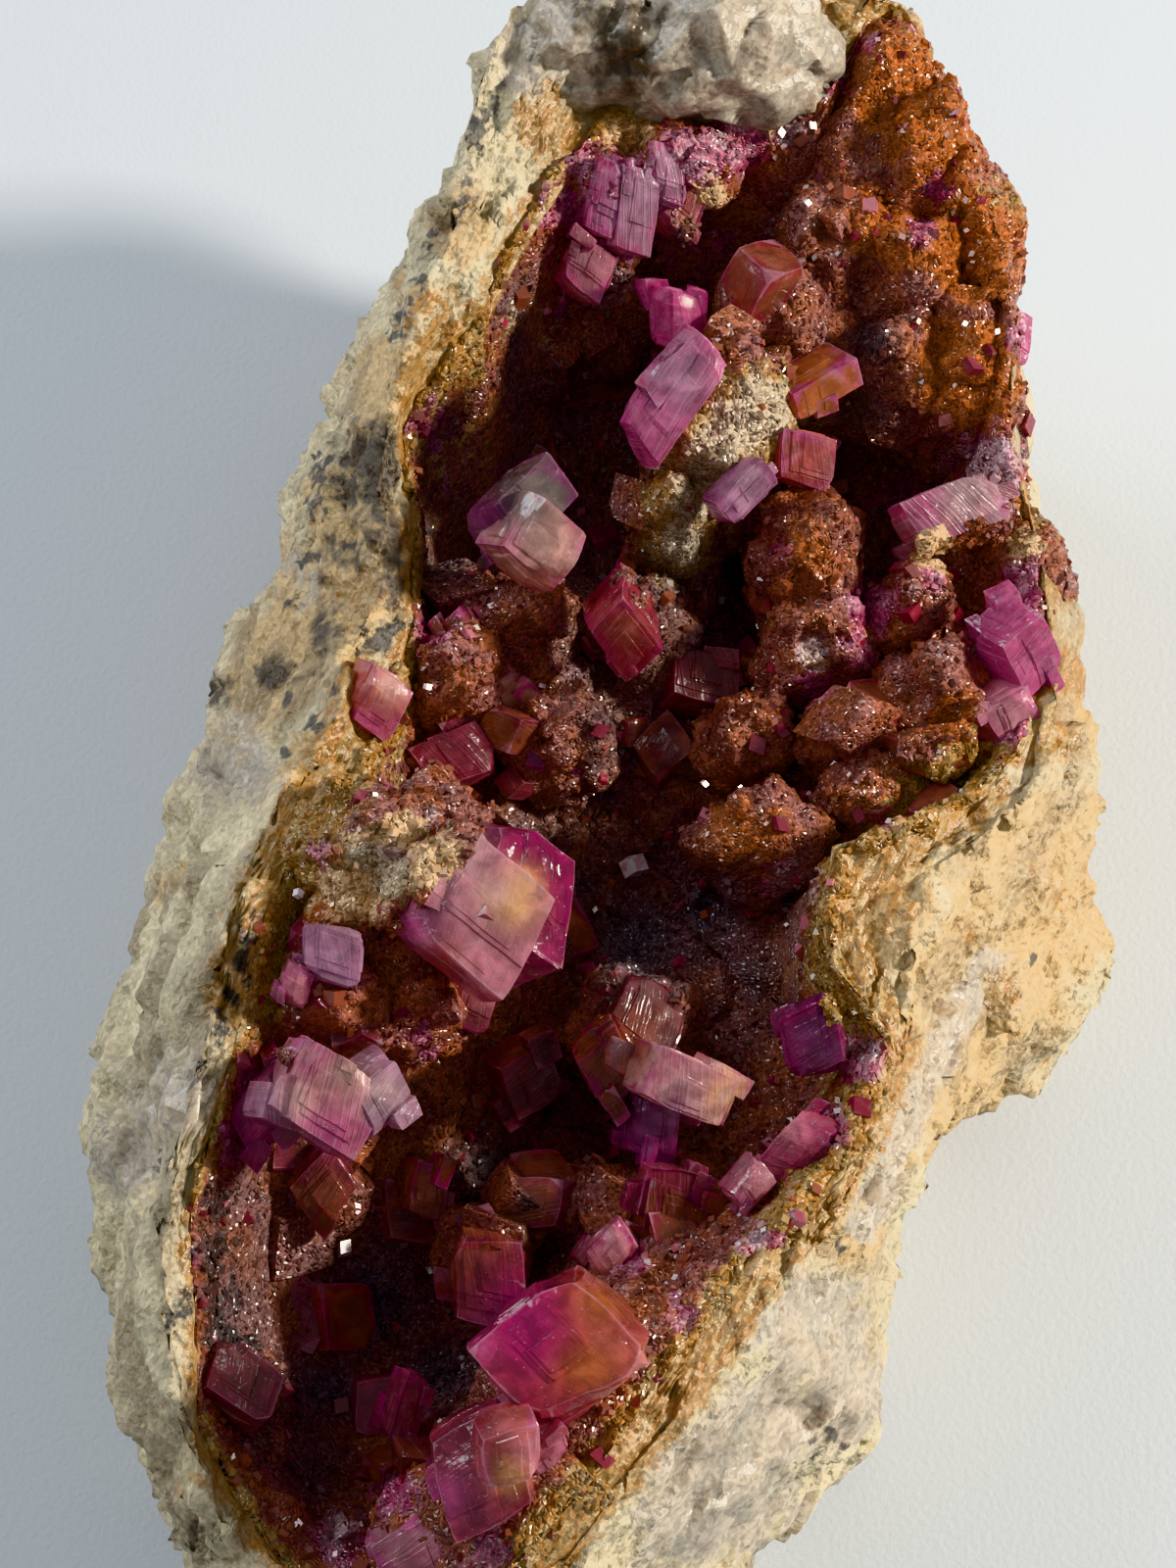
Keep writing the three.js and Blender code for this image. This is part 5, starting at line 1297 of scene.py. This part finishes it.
clear_dolomite, tree, surface = shader("cobaltoan_dolomite", IOR=1.68, Transmission_Weight=0.45,
                                       Subsurface_Weight=0.2, Subsurface_Scale=1.4 * MM)
surface.inputs["Subsurface Radius"].default_value = (1.0, 0.3, 0.45)
near_rim = maths(tree, "ADD", mark(tree, "edge"), maths(tree, "MULTIPLY", noise(tree, 1.3), 1.6))
colour = mix(tree, ramp(tree, near_rim, 1.35, 2.0), mark(tree, "core", "Color"), mark(tree, "rim", "Color"))
colour = shaded(tree, colour, ramp(tree, noise(tree, 1.4, 3.0, Distortion=0.8), 0.35, 0.68, 0.72, 1.22))
across = node(tree, "ShaderNodeCombineXYZ", {0: mark(tree, "stripe")}).outputs[0]
lines = node(tree, "ShaderNodeTexNoise", {"Vector": across, "Scale": 5.0, "Detail": 3.0}).outputs["Fac"]
striped = maths(tree, "MULTIPLY", ramp(tree, lines, 0.46, 0.60), mark(tree, "striped"))
veil = ramp(tree, noise(tree, 1.5, 7.0, Distortion=0.6), 0.50, 0.74)
frosted = maths(tree, "MULTIPLY", mark(tree, "frosting"), maths(tree, "MAXIMUM", veil, striped))
colour = laid(tree, colour, frosted, FROST_PINK, 0.75)
place = node(tree, "ShaderNodeTexCoord").outputs["Object"]
off_middle = maths(tree, "SUBTRACT", noise(tree, 1.6, 3.0, Distortion=0.6), 0.5)
hair = ramp(tree, maths(tree, "ABSOLUTE", off_middle), 0.0, 0.0035, 1, 0)
# Hairlines and tiny specks in a lighter pink: partly dust and scratches, partly painted glints.
dust_and_glint_cells = node(tree, "ShaderNodeTexVoronoi", {"Vector": place, "Scale": 1 / (0.42 * MM)}).outputs["Distance"]
specks = ramp(tree, dust_and_glint_cells, 0.06, 0.13, 1, 0)
colour = laid(tree, colour, maths(tree, "MAXIMUM", hair, specks), DUST_AND_GLINT_PINK, 0.45)
# Painted highlight: a thin lighter pink along the rhombs' edges, as where they catch the light.
painted_edge_highlight = maths(tree, "ADD", mark(tree, "edge"), maths(tree, "MULTIPLY", noise(tree, 0.9), 0.10))
colour = laid(tree, colour, ramp(tree, painted_edge_highlight, 0.99, 1.06), EDGE_HIGHLIGHT_PINK, 0.5)
tree.links.new(colour, surface.inputs["Base Color"])
tree.links.new(ramp(tree, frosted, 0, 0.6, 0.05, 0.28), surface.inputs["Roughness"])
scratched = maths(tree, "ADD", noise(tree, 0.7, 5.0), maths(tree, "MULTIPLY", hair, -0.3))
scratched = maths(tree, "ADD", scratched, maths(tree, "MULTIPLY", striped, 0.5))
roughen(tree, surface, scratched, 0.12, 0.8, sparkle(tree, 0.75, 0.20)["Normal"])
absorb = node(tree, "ShaderNodeVolumeAbsorption", {"Color": PASSED_LIGHT, "Density": ABSORPTION})
tree.links.new(absorb.outputs[0], tree.nodes["Material Output"].inputs["Volume"])


def grow(row, middle, lengths, edges, number, habit):
    """A rhomb with the smaller rhombs that come out of its faces, each turned a few degrees from it. Those on
    the face that looks at the viewer are half as large. A skin's look is its core's and rim's colours, its
    frosting and its stripes."""
    rounding, satellites, striped = habit
    dice = np.random.default_rng(number)
    skins = [crystal(middle, edges, lengths, number, 3, GROWTH_STEP, 4, rounding)]
    for k in range(satellites):
        share = dice.uniform(-0.46, 0.46, 3)
        own = dice.integers(3)
        share[own] = 0.38 * dice.choice((-1, 1))
        small = lengths * dice.uniform(0.22, 0.58, 3) * (0.5 if own == 2 and share[2] < 0 else 1)
        turned = edges @ turn_about(dice.integers(3), dice.normal(0, 10))
        place = middle + (share * lengths) @ edges
        skins.append(crystal(place, turned, small, number + 1 + k, 1, SMALL_STEP, 2, rounding))
    looks = [np.tile([*np.multiply(row[4], tone), *row[5], row[6], striped], (len(skin[0]), 1))
             for skin, tone in zip(skins, [1, *dice.uniform(0.6, 1.15, satellites)])]
    return skins, looks


def zoned(points, tints):
    """Tints changed towards the colour zones: each zone fades as a bell curve round its pixel."""
    tints = tints.copy()
    for px, py, radius, colour in ZONES:
        share = patches(points, [(px, py, radius, 1.0)])[:, None]
        tints = blend(tints, np.array(colour), share)
    return tints


def coated(points, quads):
    """Which faces the druse has grown over, and the points pushed outward there by its knobbly relief."""
    coat = patches(points, COAT_PATCHES) + 0.35 * cloudy(points, 0.9, 91)
    share = ease(coat, 0.40, 0.60)
    sides = points[quads]
    across = np.cross(sides[:, 2] - sides[:, 0], sides[:, 3] - sides[:, 1])
    facing = np.zeros_like(points)
    for k in range(4):
        np.add.at(facing, quads[:, k], across)
    raised = unit(facing) * (share * (0.25 + botryoidal(points)))[:, None]
    return points + raised, share[quads].mean(1) > 0.5


def rhomb_piece(name, points, quads, skins, looks, coat):
    """A piece of joined rhombs. Each point's colours, frosting and stripes come from its look, and its
    nearness to an edge and place along the stripes from its skin. The coat's faces get the druse."""
    edge, stripe = (np.concatenate([skin[k] for skin in skins]) for k in (3, 4))
    made = piece(name, points, quads, NO_CAPS, clear_dolomite, "crystal", core=looks[:, :3],
                 rim=looks[:, 3:6], frosting=looks[:, 6], striped=looks[:, 7], stripe=stripe, edge=edge,
                 **crust_marks(points))
    made.data.materials.append(druse)
    made.data.polygons.foreach_set("material_index", coat.astype(np.int32))
    made.data.set_sharp_from_angle(angle=SHARP_ANGLE)
    return made


crystal_skins = []
for number, (name, rhombs) in enumerate(CRYSTALS.items()):
    skins, looks = [], []
    for count, row in enumerate(rhombs):
        edges = rhomb_edges(row[2], row[3])
        lengths = np.array(row[1], float)
        grown = grow(row, seen(*row[0]) + edges[2] * lengths[2] / 2, lengths, edges,
                     1000 * number + 100 * count + 7, HABITS.get(name, PLAIN_HABIT))
        skins += grown[0]
        looks += grown[1]
    looks = np.concatenate(looks)
    points, quads, _ = joined(skins)
    points, coat = coated(points, quads)
    looks[:, :3], looks[:, 3:6] = zoned(points, looks[:, :3]), zoned(points, looks[:, 3:6])
    made = rhomb_piece(name, points, quads, skins, looks, coat)
    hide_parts("crystal_" + name)
    crystal_skins.append((points, quads[coat]))


# Buried rhombs. Between the lumps, dark wine-red and rusty rhombs of the same growth stand half sunk in the
# crust, so that only a corner or an edge of each comes out. The druse has grown over more than half of them.
BURIED_COUNT = 170
RIM_MARGIN = 2.4
BURIED_CELL = 1.2
COATED_SHARE = 0.60
STANDING_SHARE = 0.30
BURIED_SIZES = (1.4, 3.6)
BURIED_SEED = 50000
BURIED_TINTS = [
    (RUST, WINE), (MAROON, WINE), (WINE, CARMINE), (MAROON, RUST), (RUST, CARMINE), (WINE, MAROON),
]
SMOOTH_PATCHES = [
    (900, 60, 2.4, 1), (843, 525, 2.4, 1), (838, 655, 1.8, 1), (570, 810, 2.0, 1), (650, 1317, 2.0, 1),
]
APEX_SPREAD = np.sqrt((1 - np.cos(OBTUSE)) / 1.5)
random = np.random.default_rng(5)


def scattered(grids, count, steepest):
    """Random places on grids, as many for equal areas, with their outward directions. Faces that look more
    steeply down than the limit get none."""
    corner = np.concatenate([grid[:-1].reshape(-1, 3) for grid in grids])
    along = np.concatenate([(np.roll(grid, -1, 1) - grid)[:-1].reshape(-1, 3) for grid in grids])
    up = np.concatenate([(grid[1:] - grid[:-1]).reshape(-1, 3) for grid in grids])
    across = np.cross(along, up)
    facing = unit(across)
    area = np.linalg.norm(across, axis=1)
    area = np.where(facing[:, 2] > steepest, area, 0)
    chosen = random.choice(len(area), count, p=area / area.sum())
    shares = random.random((2, count, 1))
    return corner[chosen] + shares[0] * along[chosen] + shares[1] * up[chosen], facing[chosen]


def free(places, margin):
    """True for places that no lump covers."""
    clear = np.ones(len(places), bool)
    for px, py, level, *radii in all_lumps:
        off = (places - seen(px, py, level)) / (np.array(radii) - margin)
        clear &= (off**2).sum(1) > 1
    return clear


def blunt_corner(axis, side):
    """The three edge directions of a rhomb whose blunt corner points along the axis. They start towards the
    side, a third of a turn apart round the axis, and lean back from it."""
    turns = (2 * np.pi * np.arange(3) / 3).reshape(3, *[1] * axis.ndim)
    flat = np.cos(turns) * side + np.sin(turns) * np.cross(axis, side)
    return APEX_SPREAD * flat - np.sqrt(1 - APEX_SPREAD**2) * axis


crust_tops = [crust[len(under) + 2:], *sown_lumps]
places, facing = scattered(crust_tops, 4 * BURIED_COUNT, 0.2)
bare = patches(places, SUN_PATCHES + RING_PATCHES) > 0.55
reach, angle = round_axis(places)
bare |= reach > pocket_at(angle)[0] - outward(angle, RIM_MARGIN)
kept = np.flatnonzero(free(places, 0.5) & ~bare)[:BURIED_COUNT]
left_out = patches(places, SMOOTH_PATCHES) > 0.5
skins, looks = [], []
for count, where in enumerate(kept):
    axis = unit(facing[where] + 0.5 * random.normal(size=3))
    side = unit(np.cross(axis, random.normal(size=3)))
    edges = blunt_corner(axis, side)
    lengths = blend(*BURIED_SIZES, random.random() ** 1.6) * random.uniform(0.8, 1.1, 3)
    middle = places[where] + axis * STANDING_SHARE * lengths.mean() + 0.5 * (lengths @ edges)
    # The last number of the look decides whether the druse has grown over this rhomb.
    core_tint, rim_tint = BURIED_TINTS[random.integers(len(BURIED_TINTS))]
    look = [*core_tint, *rim_tint, 0.15, 0.3, random.random()]
    if left_out[where]:
        continue
    skins.append(crystal(middle, edges, lengths, BURIED_SEED + count, 1, SMALL_STEP, 3, cell=BURIED_CELL))
    looks.append(np.tile(look, (len(skins[-1][0]), 1)))
looks = np.concatenate(looks)
points, quads, _ = joined(skins)
rhomb_piece("buried_rhombs", points, quads, skins, looks, looks[quads[:, 0], 8] < COATED_SHARE)


# Druse grains. The crust's outermost grains stand free: small blunt rhombs of a third of a millimetre, clear
# orange-brown, that glint in the light. Where the druse has grown over a large rhomb, they sit on it too.
GRAIN_COUNT = 14500
COAT_GRAIN_COUNT = 2000
GRAIN_SIZES = (0.16, 0.40)
RHOMB_CORNERS = np.array(list(itertools.product((0, 1), repeat=3)))
RHOMB_FACES = np.array([(0, 4, 6, 2), (0, 2, 3, 1), (0, 1, 5, 4), (7, 3, 2, 6), (7, 6, 4, 5), (7, 5, 1, 3)])


def rhomb_quads(count):
    """The faces of so many rhombs, each with its eight corners one after another in the points."""
    return (RHOMB_FACES + len(RHOMB_CORNERS) * np.arange(count)[:, None, None]).reshape(-1, 4)


def blunt_rhombs(places, facing, sizes, sink, lean):
    """Rhombs whose blunt corner points outward, leant by chance: three edges spread down from it. The corner
    stands above the place by the rhomb's size, less the share that is sunk."""
    count = len(places)
    axis = unit(facing + lean * random.normal(size=(count, 3)))
    side = unit(np.cross(axis, random.normal(size=(count, 3))))
    edges = blunt_corner(axis, side) * sizes[:, None] * random.uniform(0.7, 1.1, (3, count, 1))
    apex = places + axis * (sizes * (1 - sink))[:, None]
    points = np.stack([apex + sum(edges[k] * corner[k] for k in range(3)) for corner in RHOMB_CORNERS], 1)
    return points.reshape(-1, 3), rhomb_quads(count), NO_CAPS


places, facing = scattered(crust_tops, 3 * GRAIN_COUNT, -0.1)
kept = np.flatnonzero(free(places, 0.25))[:GRAIN_COUNT]
coat_sides = np.concatenate([points[quads] for points, quads in crystal_skins])
coat_across = np.cross(coat_sides[:, 2] - coat_sides[:, 0], coat_sides[:, 3] - coat_sides[:, 1])
coat_area = np.linalg.norm(coat_across, axis=1)
chosen = random.choice(len(coat_area), COAT_GRAIN_COUNT, p=coat_area / coat_area.sum())
weights = random.dirichlet(np.ones(4), COAT_GRAIN_COUNT)
coat_places = (coat_sides[chosen] * weights[..., None]).sum(1)
coat_facing = coat_across[chosen] / coat_area[chosen][:, None]
places = np.concatenate([places[kept], coat_places])
facing = np.concatenate([facing[kept], coat_facing])
sizes = blend(*GRAIN_SIZES, random.random(len(places)) ** 1.5)
grain_skin = blunt_rhombs(places, facing, sizes, 0.45, 0.5)

grain_stone, tree, surface = shader("free_druse_grains", Roughness=0.14, IOR=1.68, Transmission_Weight=0.3)
tree.links.new(druse_colour(tree, mark(tree, "chance")), surface.inputs["Base Color"])
piece("druse_grains", *grain_skin, grain_stone, "druse", smooth=False,
      chance=np.repeat(random.random(len(places)), len(RHOMB_CORNERS)), **crust_marks(grain_skin[0]))


# Small rhombs. Among the grains stand hundreds of rhombs of a third of a millimetre to one millimetre. They
# are wine-red to pink, with clear faces, grew on the crust and lean every way.
SMALL_COUNT = 750
SMALL_SIZES = (0.3, 0.95)
SMALL_TINTS = np.array([WINE, RUST, CARMINE, MAROON, RUST, WINE, MAROON, ROSE])
DUSTY_ROSE = (0.60, 0.36, 0.36)

places, facing = scattered(crust_tops, 4 * SMALL_COUNT, 0.0)
kept = np.flatnonzero(free(places, 0.4))[:SMALL_COUNT]
sizes = blend(*SMALL_SIZES, random.random(len(kept)) ** 3)
small_skin = blunt_rhombs(places[kept], facing[kept], sizes, 0.55, 0.7)
tints = SMALL_TINTS[random.integers(0, len(SMALL_TINTS), len(kept))]
tints = tints * random.uniform(0.7, 1.25, (len(kept), 1))

wine_stone, tree, surface = shader("wine_rhombs", Roughness=0.10, IOR=1.68, Transmission_Weight=0.4)
clouds = ramp(tree, noise(tree, 0.5), 0.48, 0.75)
tree.links.new(laid(tree, mark(tree, "tint", "Color"), clouds, DUSTY_ROSE, 0.3), surface.inputs["Base Color"])
roughen(tree, surface, noise(tree, 0.25), 0.05, 0.6)
piece("small_rhombs", *small_skin, wine_stone, "crystal", smooth=False,
      tint=np.repeat(tints, len(RHOMB_CORNERS), 0))


# Sunlit rhombs. A few small rhombs of the same growth stand on the crust and the crystals, each turned so
# that one clean face mirrors the low sun to the viewer.
SUNLIT = [
    (652, 880, 11.0, 0.9), (212, 1265, 16.8, 0.75), (353, 1272, 12.5, 0.6), (798, 135, 27.6, 0.38),
    (830, 128, 27.8, 0.36), (825, 207, 27.0, 0.28), (438, 701, 21.6, 0.28), (317, 872, 25.6, 0.32),
    (307, 911, 25.4, 0.34), (430, 812, 28.2, 0.45), (985, 330, 25.5, 0.25), (1018, 338, 24.8, 0.25),
    (205, 1300, 18.0, 0.35), (602, 1195, 13.0, 0.40), (720, 800, 17.0, 0.28), (555, 700, 18.5, 0.24),
]
PAINTED_GLINT_SILVER = (0.80, 0.76, 0.82)


def mirror_tilt(place):
    """The lean to the right and up of a face that mirrors the sun to the eye: its normal halves the angle
    between the ways to the two."""
    half = unit(LAMPS["low_sun"]["from"] - place) + unit(EYE - place)
    right, up, towards = np.stack([RIGHT, UP, TOWARDS]) @ unit(half)
    return np.degrees(np.arcsin(right)), np.degrees(np.arctan2(up, towards))


rhombs = []
for count, (px, py, level, size) in enumerate(SUNLIT):
    edges = size * rhomb_edges(15 + 40 * count, mirror_tilt(seen(px, py, level)))
    corner = seen(px, py, level) - (edges[0] + edges[1]) / 2
    rhombs.append(corner + RHOMB_CORNERS @ edges)
bright, tree, surface = shader("sunlit_faces", Roughness=0.22, IOR=1.68)
# Painted glint: the faces are pale silver-pink, so they look white also where the lamp's reflection does not
# reach them.
colour = mix(tree, ramp(tree, noise(tree, 0.4), 0.4, 0.6), PALE_VEIL, PAINTED_GLINT_SILVER)
tree.links.new(colour, surface.inputs["Base Color"])
roughen(tree, surface, noise(tree, 0.3), 0.01, 0.5)
piece("sunlit_rhombs", np.concatenate(rhombs), rhomb_quads(len(SUNLIT)), NO_CAPS, bright, "crystal",
      smooth=False)
